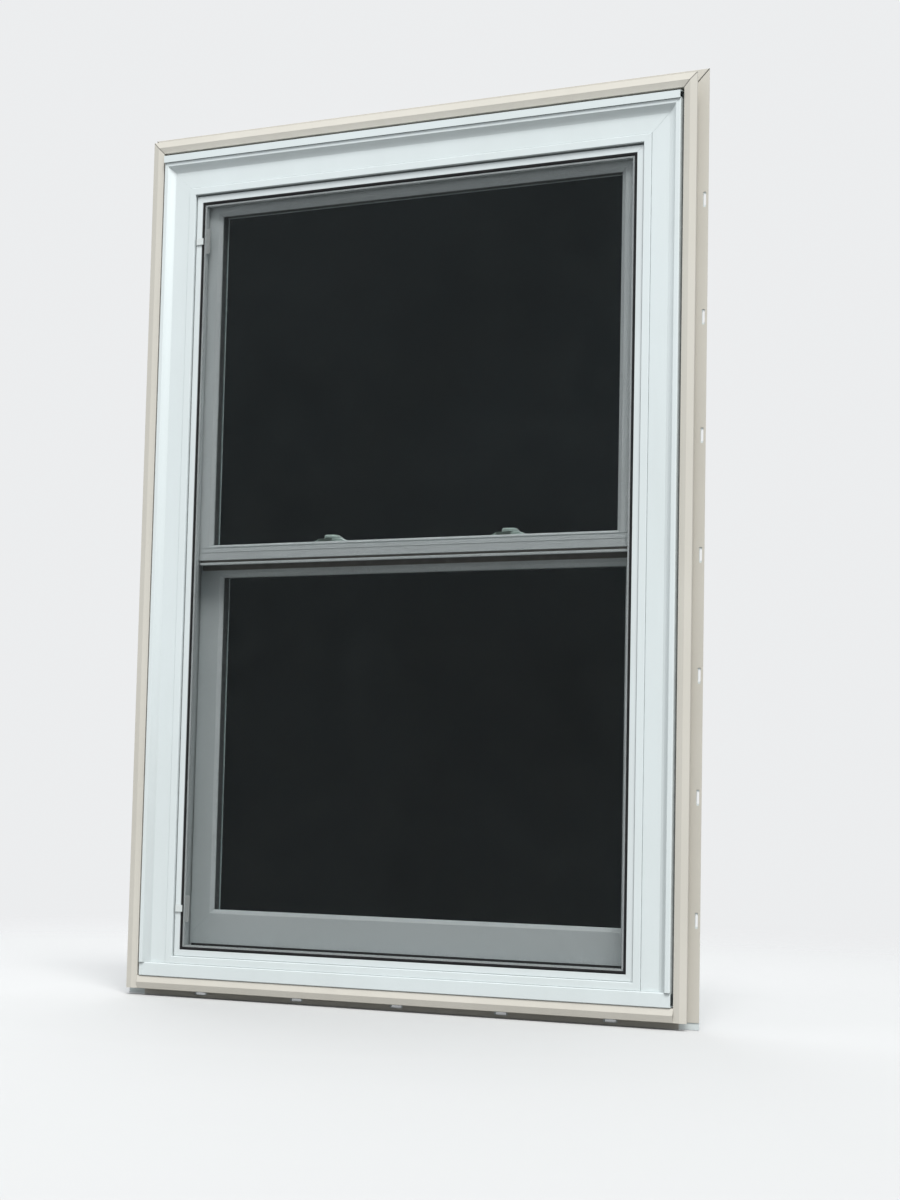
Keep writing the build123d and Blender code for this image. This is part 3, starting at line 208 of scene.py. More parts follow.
class ShaderBench(NodeBench):
    """Lays out the nodes of one material."""

    def __init__(self, name: str) -> None:
        """Start a material with its shader.

        Args:
            name: The material's name.
        """
        self.material = bpy.data.materials.new(name)
        self.material.use_nodes = True
        super().__init__(self.material.node_tree)
        self.shader = self.tree.nodes["Principled BSDF"]
        self.place = self.node("ShaderNodeTexCoord").outputs["Object"]

    def noise(self, cells: float, detail: float = 2.0, stretch: Colour = Run.NONE.value) -> Socket:
        """A noise over the object.

        Args:
            cells: Its cells a metre.
            detail: Number of finer layers.
            stretch: How much each axis is scaled before it.

        Returns:
            The socket with its value.
        """
        mapping = self.node("ShaderNodeMapping", Scale=stretch)
        made = self.node("ShaderNodeTexNoise", Scale=cells, Detail=detail)
        self.link(self.place, mapping.inputs["Vector"])
        self.link(mapping.outputs["Vector"], made.inputs["Vector"])
        return made.outputs["Fac"]

    def clouds(self, cells: float, detail: float = 2.0, low: float = 0.3, high: float = 0.7) -> Socket:
        """Soft patches, 0 where the noise is under the low value and 1 where it is over the high."""
        return self.ranged(self.noise(cells, detail), low, high)

    def mixed(self, factor: Socket, first: Socket | Colour, second: Socket | Colour) -> Socket:
        """Mix two colours.

        Args:
            factor: Share of the second colour.
            first: A colour or a socket that gives one.
            second: A colour or a socket that gives one.

        Returns:
            The socket with the mixed colour.
        """
        made = self.node("ShaderNodeMix")
        made.data_type = "RGBA"
        self.link(factor, made.inputs[0])
        self.feed(first, made.inputs[6])
        self.feed(second, made.inputs[7])
        return made.outputs[2]

    def times(self, first: Socket, second: Socket | float) -> Socket:
        """A product, held from 0 to 1."""
        return self.worked("MULTIPLY", first, second, held=True)

    def plus(self, first: Socket, second: Socket | float) -> Socket:
        """A sum, held from 0 to 1."""
        return self.worked("ADD", first, second, held=True)

    def crevice_shade(self, reach: float, samples: int = 4) -> Socket:
        """How far a point lies in a corner or groove, used to paint shade there.

        Args:
            reach: How far away a wall still counts.
            samples: Number of rays that look for one.

        Returns:
            The socket, 0 in the open and 1 deep inside.
        """
        made = self.node("ShaderNodeAmbientOcclusion", Distance=reach)
        made.samples = samples
        return self.ranged(made.outputs["AO"], 0.25, 0.85, to_low=1.0, to_high=0.0)

    def ledges(self) -> Socket:
        """Where a surface faces up, so that dust lies on it."""
        return self.ranged(self.axis(self.node("ShaderNodeNewGeometry").outputs["Normal"], "Z"), 0.55, 0.98)

    def slanted_joint(self, lead: float, half_width: float = 0.0011, strength: float = 0.75) -> Socket:
        """Where two lengths meet on the slant at an upper corner of the ring.

        Args:
            lead: How much taller the ring is than wide, from its middle.
            half_width: Half the height of the line.
            strength: What the socket gives on the joint.

        Returns:
            The socket, 0 away from the joint.
        """
        aside = self.worked("ABSOLUTE", self.axis(self.place, "X"))
        away = self.worked("SUBTRACT", self.axis(self.place, "Z"), aside)
        return self.ranged(self.worked("COMPARE", away, lead, half_width), 0.0, 1.0, to_high=strength)

    def colour(self, source: Socket) -> None:
        """Give the shader its colour."""
        self.link(source, self.shader.inputs["Base Color"])

    def roughness(self, source: Socket) -> None:
        """Give the shader its roughness."""
        self.link(source, self.shader.inputs["Roughness"])

    def bump(self, source: Socket, strength: float, depth: float) -> None:
        """Raise the surface by a height.

        Args:
            source: The height.
            strength: Share of the effect.
            depth: Height of its full range, in metres.
        """
        made = self.node("ShaderNodeBump", Strength=strength, Distance=depth)
        self.link(source, made.inputs["Height"])
        self.link(made.outputs["Normal"], self.shader.inputs["Normal"])

    def preset(self, **sockets: object) -> None:
        """Set the shader's own sockets to constant values."""
        for key, value in sockets.items():
            self.shader.inputs[key.replace("_", " ")].default_value = value

    def part_clear(self, share: Socket, tint: Colour = (1.0, 1.0, 1.0)) -> None:
        """Let light straight through.

        Args:
            share: How much goes straight through, in place of into the shader.
            tint: Colour of what goes through.
        """
        clear = self.node("ShaderNodeBsdfTransparent", Color=(*tint, 1.0))
        self.show(share, self.shader.outputs[0], clear.outputs[0], "Material Output")


@dataclass(frozen=True)
class Finish:
    """What each finish has: its name, two close tones, its gloss and the way that it runs."""

    name: str
    tone: Colour
    other_tone: Colour
    gloss: float
    run: Run = Run.NONE

    def build(self) -> bpy.types.Material:
        """Make the material.

        Returns:
            The material.
        """
        bench = ShaderBench(self.name)
        self.lay_out(bench)
        return bench.material

    def lay_out(self, bench: ShaderBench) -> None:
        """Lay out the nodes."""
        raise NotImplementedError

    def tint(self, bench: ShaderBench, share: Socket) -> Socket:
        """Mix the two tones, by a share of the second."""
        return bench.mixed(share, self.tone, self.other_tone)

    def shine(self, bench: ShaderBench, share: Socket, duller: float) -> None:
        """Set the gloss, with the surface duller by so much where the share is full."""
        bench.roughness(bench.ranged(share, 0.0, 1.0, self.gloss, self.gloss + duller))


@dataclass(frozen=True)
class ExtrudedVinyl(Finish):
    """Weathered vinyl with faint die lines, fine texture, stains, a dusty film on its ledges and painted
    shade in its corners and grooves.
    """

    # Colour of the painted shade in corners and grooves and of the ledge deposits and stains; the next
    # value sets how strongly they darken the vinyl.
    grime_and_shade: Colour = (0.16, 0.155, 0.14)
    shade_and_soiling: float = 0.38
    die_lines: float = 0.22
    grain: float = 0.3
    ledge_dust: float = 0.35
    stains: float = 0.16
    joint: float = 0.0
    joint_shade: Colour = (0.05, 0.045, 0.04)

    def lay_out(self, bench: ShaderBench) -> None:
        """Lay out the nodes.

        Args:
            bench: The bench of the material.
        """
        broad = bench.clouds(3.5, detail=3.0)
        streaks = bench.noise(26.0, detail=4.0, stretch=(1.0, 1.0, 0.18))
        patches = bench.ranged(streaks, 0.45, 0.8, to_high=0.55)
        uneven = bench.ranged(bench.noise(70.0, detail=3.0), 0.3, 0.7, to_low=0.45)
        # Painted shade: corners and grooves darken by ambient occlusion, on top of the ledge deposits and
        # stains.
        corner_shade = bench.times(bench.crevice_shade(reach=0.012), uneven)
        on_ledges = bench.times(bench.ledges(), uneven)
        shade_and_dirt = bench.plus(corner_shade, bench.times(on_ledges, self.ledge_dust))
        shade_and_dirt = bench.plus(shade_and_dirt, bench.times(patches, self.stains))
        shade = bench.mixed(bench.times(shade_and_dirt, self.shade_and_soiling), self.tint(bench, broad), self.grime_and_shade)
        if self.joint:
            shade = bench.mixed(bench.slanted_joint(self.joint), shade, self.joint_shade)
        bench.colour(shade)
        lines = bench.times(bench.noise(900.0, stretch=self.run.value), self.die_lines)
        grain = bench.times(bench.noise(1500.0), self.grain)
        bench.bump(bench.plus(lines, grain), strength=0.35, depth=0.00012)
        self.shine(bench, broad, duller=0.09)
        bench.preset(Specular_IOR_Level=0.42)


@dataclass(frozen=True)
class EnamelledMetal(Finish):
    """Baked enamel on rolled metal, with a faint orange-peel surface."""

    peel: float = 420.0
    # Colour of the painted shade in corners and grooves.
    dust_and_shade: Colour = (0.13, 0.125, 0.115)

    def lay_out(self, bench: ShaderBench) -> None:
        """Lay out the nodes.

        Args:
            bench: The bench of the material.
        """
        # Painted shade: corners and grooves darken by ambient occlusion.
        shade_and_dirt = bench.times(bench.crevice_shade(reach=0.006), 0.3)
        bench.colour(bench.mixed(shade_and_dirt, self.tint(bench, bench.clouds(5.0)), self.dust_and_shade))
        bench.bump(bench.noise(self.peel), strength=0.12, depth=0.0002)
        self.shine(bench, bench.clouds(40.0), duller=0.08)
        bench.preset(Coat_Weight=0.25, Coat_Roughness=0.2)


@dataclass(frozen=True)
class Moulding(Finish):
    """Moulded nylon or acetal with a slight grain and its colour a little clouded."""

    grain: float = 700.0
    # Colour of the painted shade in corners and grooves.
    corner_shade_tone: Colour = (0.03, 0.03, 0.028)

    def lay_out(self, bench: ShaderBench) -> None:
        """Lay out the nodes.

        Args:
            bench: The bench of the material.
        """
        clouds = bench.clouds(45.0, detail=3.0)
        # Painted shade: corners and grooves darken by ambient occlusion.
        shade_and_dirt = bench.times(bench.crevice_shade(reach=0.004), 0.35)
        bench.colour(bench.mixed(shade_and_dirt, self.tint(bench, clouds), self.corner_shade_tone))
        bench.bump(bench.noise(self.grain), strength=0.25, depth=0.00015)
        self.shine(bench, clouds, duller=0.1)


@dataclass(frozen=True)
class SpringSteel(Finish):
    """Rolled strip with fine lines along it and a few dull patches."""

    def lay_out(self, bench: ShaderBench) -> None:
        """Lay out the nodes.

        Args:
            bench: The bench of the material.
        """
        patches = bench.clouds(60.0, detail=4.0, low=0.45, high=0.75)
        bench.colour(self.tint(bench, patches))
        bench.bump(bench.noise(1400.0, stretch=self.run.value), strength=0.2, depth=0.0001)
        self.shine(bench, patches, duller=0.25)
        bench.preset(Metallic=1.0)


@dataclass(frozen=True)
class RibbedRubber(Finish):
    """Rubber with small ribs across it."""

    ribs: float = 1100.0
    turn: float = 6.28

    def lay_out(self, bench: ShaderBench) -> None:
        """Lay out the nodes.

        Args:
            bench: The bench of the material.
        """
        wave = bench.node("ShaderNodeTexWave", Scale=self.ribs / self.turn, Distortion=0.6)
        wave.bands_direction = "DIAGONAL"
        bench.link(bench.place, wave.inputs["Vector"])
        dust_and_shade = bench.clouds(55.0, detail=3.0, low=0.4, high=0.8)
        bench.colour(self.tint(bench, dust_and_shade))
        bench.bump(wave.outputs["Fac"], strength=0.4, depth=0.00025)
        self.shine(bench, dust_and_shade, duller=0.15)
        bench.preset(Specular_IOR_Level=0.2)


@dataclass(frozen=True)
class SpacerBar(Finish):
    """Mill-finish bar with a row of small vents for its drying beads."""

    vents: float = 210.0
    vent_shade: Colour = (0.02, 0.02, 0.02)

    def lay_out(self, bench: ShaderBench) -> None:
        """Lay out the nodes.

        Args:
            bench: The bench of the material.
        """
        cells = bench.node("ShaderNodeTexVoronoi", Scale=self.vents, Randomness=0.0)
        bench.link(bench.place, cells.inputs["Vector"])
        hole = bench.ranged(cells.outputs["Distance"], 0.12, 0.2, to_low=1.0, to_high=0.0)
        dull = bench.clouds(80.0, detail=3.0)
        bench.colour(bench.mixed(hole, self.tint(bench, dull), self.vent_shade))
        self.shine(bench, dull, duller=0.15)
        bench.preset(Metallic=0.8)


@dataclass(frozen=True)
class ClearGlass(Finish):
    """Clear glazing with a faint film of dust in patches.

    It bends light less than real glass does, so that the pale studio doesn't wash over the dark behind.
    """

    film: float = 0.05
    index: float = 1.09

    def lay_out(self, bench: ShaderBench) -> None:
        """Lay out the nodes.

        Args:
            bench: The bench of the material.
        """
        cloudy = bench.clouds(4.0, detail=4.0, high=0.75)
        bench.colour(self.tint(bench, cloudy))
        self.shine(bench, cloudy, duller=self.film)
        bench.preset(Transmission_Weight=1.0, IOR=self.index)
        bench.part_clear(bench.node("ShaderNodeLightPath").outputs["Is Shadow Ray"], self.other_tone)


@dataclass(frozen=True)
class CoatedYarn(Finish):
    """Screen yarn in its plastic coat."""

    def lay_out(self, bench: ShaderBench) -> None:
        """Lay out the nodes.

        Args:
            bench: The bench of the material.
        """
        dust_and_shade = bench.clouds(18.0, detail=4.0, low=0.4, high=0.75)
        bench.colour(self.tint(bench, dust_and_shade))
        self.shine(bench, dust_and_shade, duller=0.2)
        bench.bump(bench.noise(2500.0), strength=0.3, depth=0.00008)
        bench.preset(Specular_IOR_Level=0.25)


@dataclass(frozen=True)
class ShadeCard(Finish):
    """Dark felted card, a little uneven, that stands in as painted shade for the unlit room behind the
    glass.
    """

    def lay_out(self, bench: ShaderBench) -> None:
        """Lay out the nodes.

        Args:
            bench: The bench of the material.
        """
        clouds = bench.clouds(2.2, detail=4.0, low=0.35)
        bench.colour(self.tint(bench, clouds))
        self.shine(bench, clouds, duller=0.02)
        bench.preset(Specular_IOR_Level=0.0)


@dataclass(frozen=True)
class FloorPaint(Finish):
    """Pale studio floor that throws little light up and fades into the backdrop."""

    bounced: Colour = (0.20, 0.196, 0.186)
    fade_from: float = 1.1
    fade_to: float = 3.2

    def lay_out(self, bench: ShaderBench) -> None:
        """Lay out the nodes.

        Args:
            bench: The bench of the material.
        """
        broad = bench.clouds(0.8, detail=3.0)
        rays = bench.node("ShaderNodeLightPath").outputs
        looked_at = bench.plus(rays["Is Camera Ray"], rays["Is Transmission Ray"])
        looked_at = bench.plus(looked_at, rays["Is Glossy Ray"])
        bench.colour(bench.mixed(looked_at, self.bounced, self.tint(bench, broad)))
        distance = bench.node("ShaderNodeVectorMath")
        distance.operation = "LENGTH"
        bench.link(bench.place, distance.inputs[0])
        bench.part_clear(bench.ranged(distance.outputs["Value"], self.fade_from, self.fade_to))
        bench.bump(bench.noise(90.0), strength=0.05, depth=0.0005)
        self.shine(bench, broad, duller=0.05)


WHITE = (0.70, 0.762, 0.775)
WHITE_AGED = (0.67, 0.728, 0.735)
BEIGE = (0.62, 0.597, 0.54)
BEIGE_AGED = (0.58, 0.557, 0.50)
# Colour of the beige vinyl's painted shade in corners, and of its ledge deposits and stains.
BEIGE_GRIME_AND_SHADE = (0.14, 0.12, 0.10)
RING_LEAD = CAD_BOX[1][2] - CAD_BOX[1][0]
VINYL_UPRIGHT = ExtrudedVinyl("white_vinyl_upright", WHITE, WHITE_AGED, 0.36, Run.UPRIGHT)
VINYL_LEVEL = ExtrudedVinyl("white_vinyl_level", WHITE, WHITE_AGED, 0.36, Run.LEVEL)
# Painted shade: stiles and rails are one vinyl, but the stiles take twice the corner shade and dirt of the
# rails, so that they read as more shaded.
SASH_UPRIGHT = ExtrudedVinyl("sash_vinyl_upright", WHITE, WHITE_AGED, 0.38, Run.UPRIGHT, shade_and_soiling=0.24)
SASH_LEVEL = ExtrudedVinyl("sash_vinyl_level", WHITE, WHITE_AGED, 0.38, Run.LEVEL, shade_and_soiling=0.12)
BEIGE_UPRIGHT = ExtrudedVinyl(
    "beige_vinyl_upright", BEIGE, BEIGE_AGED, 0.5, Run.UPRIGHT, BEIGE_GRIME_AND_SHADE, shade_and_soiling=0.45, joint=RING_LEAD
)
BEIGE_LEVEL = replace(BEIGE_UPRIGHT, name="beige_vinyl_level", run=Run.LEVEL)
SCREEN_ENAMEL = EnamelledMetal("screen_enamel", (0.68, 0.735, 0.745), (0.64, 0.69, 0.70), 0.3)
LOCK_COATING = EnamelledMetal("lock_coating", (0.60, 0.66, 0.62), (0.56, 0.62, 0.59), 0.34, peel=650.0)
NYLON = Moulding("pale_nylon", (0.60, 0.60, 0.56), (0.55, 0.55, 0.51), 0.42)
WHITE_NYLON = Moulding("white_nylon", (0.66, 0.70, 0.70), (0.61, 0.65, 0.65), 0.4)
KEY_NYLON = Moulding("corner_key_nylon", (0.03, 0.03, 0.03), (0.045, 0.045, 0.045), 0.5)
STEEL = SpringSteel("spring_steel", (0.52, 0.52, 0.51), (0.36, 0.34, 0.31), 0.28, Run.UPRIGHT)
SPLINE_RUBBER = RibbedRubber("spline_rubber", (0.005, 0.005, 0.006), (0.016, 0.016, 0.016), 0.6)
SEAL_RUBBER = RibbedRubber("seal_rubber", (0.10, 0.10, 0.10), (0.15, 0.145, 0.14), 0.6, ribs=300.0)
# Near-black rubber of the foot seal, which paints the shadow gap under the bottom rail.
FOOT_SHADE_RUBBER = RibbedRubber("foot_shade_rubber", (0.02, 0.02, 0.022), (0.04, 0.04, 0.04), 0.6, ribs=300.0)
# Pile colour; also used for the strips that paint the shade under the upper meeting rail.
PILE = RibbedRubber("pile_strip", (0.145, 0.135, 0.125), (0.21, 0.195, 0.18), 0.85, ribs=2600.0)
SPACER = SpacerBar("spacer_bar", (0.30, 0.31, 0.32), (0.22, 0.225, 0.23), 0.35)
GLASS = ClearGlass("clear_glass", (0.89, 0.92, 0.915), (0.86, 0.89, 0.885), 0.012)
YARN = CoatedYarn("screen_yarn", (0.013, 0.0155, 0.0155), (0.022, 0.025, 0.0245), 0.5)
# Painted shade: a dark card for the unlit room, seen only through the glass.
ROOM_SHADE_CARD = ShadeCard("unlit_room_shade_card", (0.002, 0.004, 0.005), (0.007, 0.010, 0.012), 0.95)
FLOOR = FloorPaint("studio_floor", (0.50, 0.503, 0.505), (0.485, 0.488, 0.49), 0.75)


class FinishShelf:
    """Keeps each finish's material, so that it is made once."""

    def __init__(self) -> None:
        """Start with an empty shelf."""
        self.made: dict[str, bpy.types.Material] = {}

    def dress(self, piece: Piece, finish: Finish) -> None:
        """Give a piece a finish in place of what it has.

        Args:
            piece: The piece.
            finish: Its finish.
        """
        if finish.name not in self.made:
            self.made[finish.name] = finish.build()
        material = self.made[finish.name]
        if not piece.material_slots:
            piece.data.materials.append(material)
        for slot in piece.material_slots:
            slot.material = material


# Modelling steps


# Cosine past which a face or an edge counts as lying along an axis
FACING = 0.9

# Distance under which points are one, angle under which faces are one, and angle past which an
# edge is rounded
DOUBLES = 0.000005
FLAT = math.radians(0.6)
CORNER = math.radians(28)

# Rounding of small pieces
FINE_EDGE = 0.0003

# Directions, and the sign of each side along X
UP = Vector((0.0, 0.0, 1.0))
ACROSS = Vector((1.0, 0.0, 0.0))
SIDES = {"left": -1.0, "right": 1.0}


def facing(*axes: str) -> Choice:
    """Choose what faces or runs along one of some axes, either way."""
    return lambda at, way: any(abs(getattr(way, axis)) > FACING for axis in axes)


def deselect() -> None:
    """Select nothing."""
    bpy.ops.object.select_all(action="DESELECT")


def take(piece: Piece) -> None:
    """Select one piece and nothing else.

    Args:
        piece: The piece.
    """
    deselect()
    piece.select_set(True)
    bpy.context.view_layer.objects.active = piece


def named(name: str) -> Piece:
    """Name the piece that was just made, with its place put in its mesh.

    Args:
        name: The piece's name.

    Returns:
        The piece.
    """
    piece = bpy.context.active_object
    piece.name = name
    piece.data.name = name
    take(piece)
    bpy.ops.object.transform_apply(location=True, rotation=True, scale=True)
    return piece


def block(name: str, across: Span, depth: Span, height: Span) -> Piece:
    """Add a block.

    Args:
        name: The piece's name.
        across: Where it starts and ends along X.
        depth: Where it starts and ends along Y.
        height: Where it starts and ends along Z.

    Returns:
        The piece.
    """
    deselect()
    low, high = (Vector(corner) for corner in zip(across, depth, height))
    bpy.ops.mesh.primitive_cube_add(size=1.0, location=(low + high) / 2)
    bpy.context.active_object.scale = high - low
    return named(name)


def rod(name: str, middle: Vector, radius: float, length: float, along: Vector, sides: int) -> Piece:
    """Add a rod.

    Args:
        name: The piece's name.
        middle: Its middle.
        radius: Its radius.
        length: Its length.
        along: The direction of its axis.
        sides: Number of its sides.

    Returns:
        The piece.
    """
    deselect()
    turn = along.to_track_quat("Z", "Y").to_euler()
    bpy.ops.mesh.primitive_cylinder_add(
        vertices=sides, radius=radius, depth=length, location=middle, rotation=turn
    )
    return named(name)


def board(name: str, middle: Vector, size: float, cells: int, lean: float = 0.0) -> Piece:
    """Add a flat square, level unless it leans.

    Args:
        name: The piece's name.
        middle: Its middle.
        size: Length of its side.
        cells: Number of its cells each way.
        lean: How far it leans about the X axis.

    Returns:
        The piece.
    """
    deselect()
    turn = (lean, 0.0, 0.0)
    bpy.ops.mesh.primitive_grid_add(
        x_subdivisions=cells, y_subdivisions=cells, size=size, location=middle, rotation=turn
    )
    return named(name)


@contextmanager
def editing(piece: Piece, part: Part, chosen: Choice) -> Iterator[None]:
    """Open a piece in edit mode with some of its elements selected, and close it again.

    Args:
        piece: The piece.
        part: What is selected.
        chosen: Tells from an element's place and its normal or direction whether it is.

    Yields:
        Nothing, while the piece is open.
    """
    take(piece)
    bpy.ops.object.mode_set(mode="EDIT")
    bpy.ops.mesh.select_mode(type=part.value)
    bpy.ops.mesh.select_all(action="DESELECT")
    mesh = bmesh.from_edit_mesh(piece.data)
    if part is Part.FACES:
        for face in mesh.faces:
            if chosen(face.calc_center_median(), face.normal):
                face.select_set(True)
    else:
        for edge in mesh.edges:
            first, second = (corner.co for corner in edge.verts)
            if chosen((first + second) / 2, (second - first).normalized()):
                edge.select_set(True)
    mesh.select_flush_mode()
    bmesh.update_edit_mesh(piece.data)
    yield
    bpy.ops.object.mode_set(mode="OBJECT")


def finish_with(piece: Piece, kind: str, **settings: object) -> None:
    """Apply a modifier to a piece.

    Args:
        piece: The piece.
        kind: The modifier's type.
        **settings: Its settings.
    """
    take(piece)
    modifier = piece.modifiers.new(kind.title(), kind)
    for key, value in settings.items():
        setattr(modifier, key, value)
    bpy.ops.object.modifier_apply(modifier=modifier.name)


def repeat(piece: Piece, count: int, step: Vector) -> None:
    """Repeat a piece in a row.

    Args:
        piece: The piece.
        count: How many there are in all.
        step: How far each is from the one before.
    """
    finish_with(
        piece,
        "ARRAY",
        count=count,
        use_relative_offset=False,
        use_constant_offset=True,
        constant_offset_displace=step,
    )


def leaned(piece: Piece, name: str, angle: float, place: Vector) -> Piece:
    """Copy a piece, with its own mesh, leaned about the Y axis and put in its place.

    Args:
        piece: The piece, built round the origin.
        name: The copy's name.
        angle: How far it leans.
        place: Where it goes.

    Returns:
        The copy.
    """
    take(piece)
    bpy.ops.object.duplicate()
    copy = bpy.context.active_object
    copy.rotation_euler = (0.0, angle, 0.0)
    copy.location = place
    return named(name)


def joined(name: str, pieces: list[Piece]) -> Piece:
    """Join pieces into one.

    Args:
        name: Its name.
        pieces: The pieces.

    Returns:
        The joined piece.
    """
    take(pieces[0])
    for piece in pieces[1:]:
        piece.select_set(True)
    bpy.ops.object.join()
    return named(name)


@dataclass
class SubAssembly:
    """Pieces that are built and dressed together and move with one body."""

    shelf: FinishShelf
    body: str = "frame"

    def soften(self, node: str, finish: Finish, edge: float = FINE_EDGE) -> None:
        """Give a node its finish and small rounded edges.

        Args:
            node: The node's name.
            finish: Its finish.
            edge: Width of the rounding, or 0 for none.
        """
        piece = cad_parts[node]
        self.shelf.dress(piece, finish)
        if edge:
            weld = piece.modifiers.new("Weld", "WELD")
            weld.merge_threshold = DOUBLES
            flat = piece.modifiers.new("Flat", "DECIMATE")
            flat.decimate_type = "DISSOLVE"
            flat.angle_limit = FLAT
            rounding = piece.modifiers.new("Rounding", "BEVEL")
            rounding.width = edge
            rounding.segments = 2
            rounding.limit_method = "ANGLE"
            rounding.angle_limit = CORNER
            rounding.use_clamp_overlap = True
        LOG.info("dressed %s in %s", node, finish.name)

    def place(self, piece: Piece, finish: Finish, slot: str, body: str = "") -> None:
        """Dress a new piece and let it ride.

        Args:
            piece: The piece.
            finish: Its finish.
            slot: Not used.
            body: The body that it moves with, if not the sub-assembly's own.
        """
        self.shelf.dress(piece, finish)
        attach(piece, body or self.body)
        LOG.info("built %s: %d faces", piece.name, len(piece.data.polygons))


@dataclass
class FrameAndTrim(SubAssembly):
    """The fixed frame, its casing, the cap and the siding channel.

    The cap has no rounding, because there it would stand out past the solids' box.
    """

    edge: float = 0.0005
    thin_edge: float = 0.00045
    cap_edge: float = 0.0

    def dress(self) -> None:
        """Finish the extrusions, each with its lines along it."""
        for node in ("frame_head", "frame_sill", "brickmould_head", "sill_nose"):
            self.soften(node, VINYL_LEVEL, self.edge)
        for node in ("frame_jamb_left", "frame_jamb_right", "brickmould_left", "brickmould_right"):
            self.soften(node, VINYL_UPRIGHT, self.edge)
        self.soften("drip_cap", VINYL_LEVEL, self.cap_edge)
        for node in ("j_channel_head", "j_channel_sill"):
            self.soften(node, BEIGE_LEVEL, self.thin_edge)
        for node in ("j_channel_left", "j_channel_right"):
            self.soften(node, BEIGE_UPRIGHT, self.thin_edge)


@dataclass
class InsectScreen(SubAssembly):
    """The screen: tubes, corner keys, spline, plungers and the cloth of real strands."""

    pitch_across: float = 0.00141
    pitch_up: float = 0.00159
    yarn: float = 0.00028
    yarn_flatness: float = 0.9
    yarn_sides: int = 6
    tab_width: float = 0.0095
    tab_height: float = 0.048
    tab_thickness: float = 0.0008
    tab_tuck: float = 0.0005
    tab_gap: float = 0.0001
    tab_roundness: float = 0.48
    tab_rim: float = 0.0011
    dish_slope: float = 0.0003
    dish_depth: float = 0.00025
    bead_width: float = 0.0055
    bead_depth: float = 0.0052
    bead_proud: float = 0.0008
    bead_grown: float = 0.00015
    bead_roundness: float = 0.49

    def dress(self) -> None:
        """Finish the tubes, keys and plungers."""
        for node in ("screen_rail_head", "screen_rail_sill", "screen_stile_left", "screen_stile_right"):
            self.soften(node, SCREEN_ENAMEL)
        self.soften("screen_corner_keys", KEY_NYLON)
        for node in ("screen_plunger_lower", "screen_plunger_upper"):
            self.soften(node, WHITE_NYLON)

    def press_bead(self) -> None:
        """Press the full round bead into the groove, a little proud of it, over the cloth's edge."""
        low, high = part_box("screen_spline")
        front = low.y - self.bead_proud
        bead = block(
            "spline_bead",
            (low.x - self.bead_grown, high.x + self.bead_grown),
            (front, front + self.bead_depth),
            (low.z - self.bead_grown, high.z + self.bead_grown),
        )
        with editing(bead, Part.FACES, facing("y")):
            bpy.ops.mesh.inset(thickness=self.bead_width)
            bpy.ops.mesh.bridge_edge_loops()
        with editing(bead, Part.EDGES, facing("x", "z")):
            bpy.ops.mesh.bevel(offset=self.bead_depth * self.bead_roundness, segments=5)
        self.place(bead, SPLINE_RUBBER, "spline")
        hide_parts("screen_spline")

    def strands(self, name: str, low: Vector, high: Vector, upright: bool, depth: float) -> Piece:
        """Lay the parallel strands of one direction.

        Args:
            name: The piece's name.
            low: Lowest corner of the cloth.
            high: Highest corner of the cloth.
            upright: Whether the strands stand or lie.
            depth: Where their middle lies in depth.

        Returns:
            The strands.
        """
        length = high.z - low.z if upright else high.x - low.x
        width = high.x - low.x if upright else high.z - low.z
        pitch = self.pitch_across if upright else self.pitch_up
        along, across = (UP, ACROSS) if upright else (ACROSS, UP)
        count = int((width - self.yarn) / pitch) + 1
        start = (width - (count - 1) * pitch) / 2
        middle = (low + high) / 2
        middle.y = depth
        first = middle - across * (width / 2 - start)
        strand = rod(name, first, self.yarn / 2, length, along, self.yarn_sides)
        with editing(strand, Part.FACES, facing("z" if upright else "x")):
            bpy.ops.mesh.delete(type="ONLY_FACE")
            bpy.ops.mesh.select_all(action="SELECT")
            bpy.ops.transform.resize(value=(1.0, self.yarn_flatness, 1.0), center_override=tuple(first))
        repeat(strand, count, across * pitch)
        return strand

    def weave(self) -> None:
        """Make the cloth in place of its flat stand-in."""
        low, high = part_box("screen_mesh")
        half = self.yarn * self.yarn_flatness / 2
        warp = self.strands("warp", low, high, True, high.y - half)
        weft = self.strands("weft", low, high, False, low.y + half)
        cloth = joined("screen_cloth", [warp, weft])
        self.place(cloth, YARN, "mesh")
        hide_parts("screen_mesh")

    def hang_tabs(self) -> None:
        """Hang a rounded pull tab behind the cloth beside each plunger, slotted on the tube's lip."""
        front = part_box("screen_mesh")[1].y + self.tab_gap
        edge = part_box("screen_stile_left")[1].x - self.tab_tuck
        for which in ("lower", "upper"):
            low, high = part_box(f"screen_plunger_{which}")
            foot = (low.z + high.z) / 2 - self.tab_height / 2
            tab = block(
                f"screen_pull_tab_{which}",
                (edge, edge + self.tab_width),
                (front, front + self.tab_thickness),
                (foot, foot + self.tab_height),
            )
            with editing(tab, Part.EDGES, facing("y")):
                bpy.ops.mesh.bevel(offset=self.tab_width * self.tab_roundness, segments=6)
            with editing(tab, Part.FACES, facing("y")):
                bpy.ops.mesh.inset(thickness=self.tab_rim)
                bpy.ops.mesh.inset(thickness=self.dish_slope, depth=-self.dish_depth)
            self.place(tab, WHITE_NYLON, "plunger")


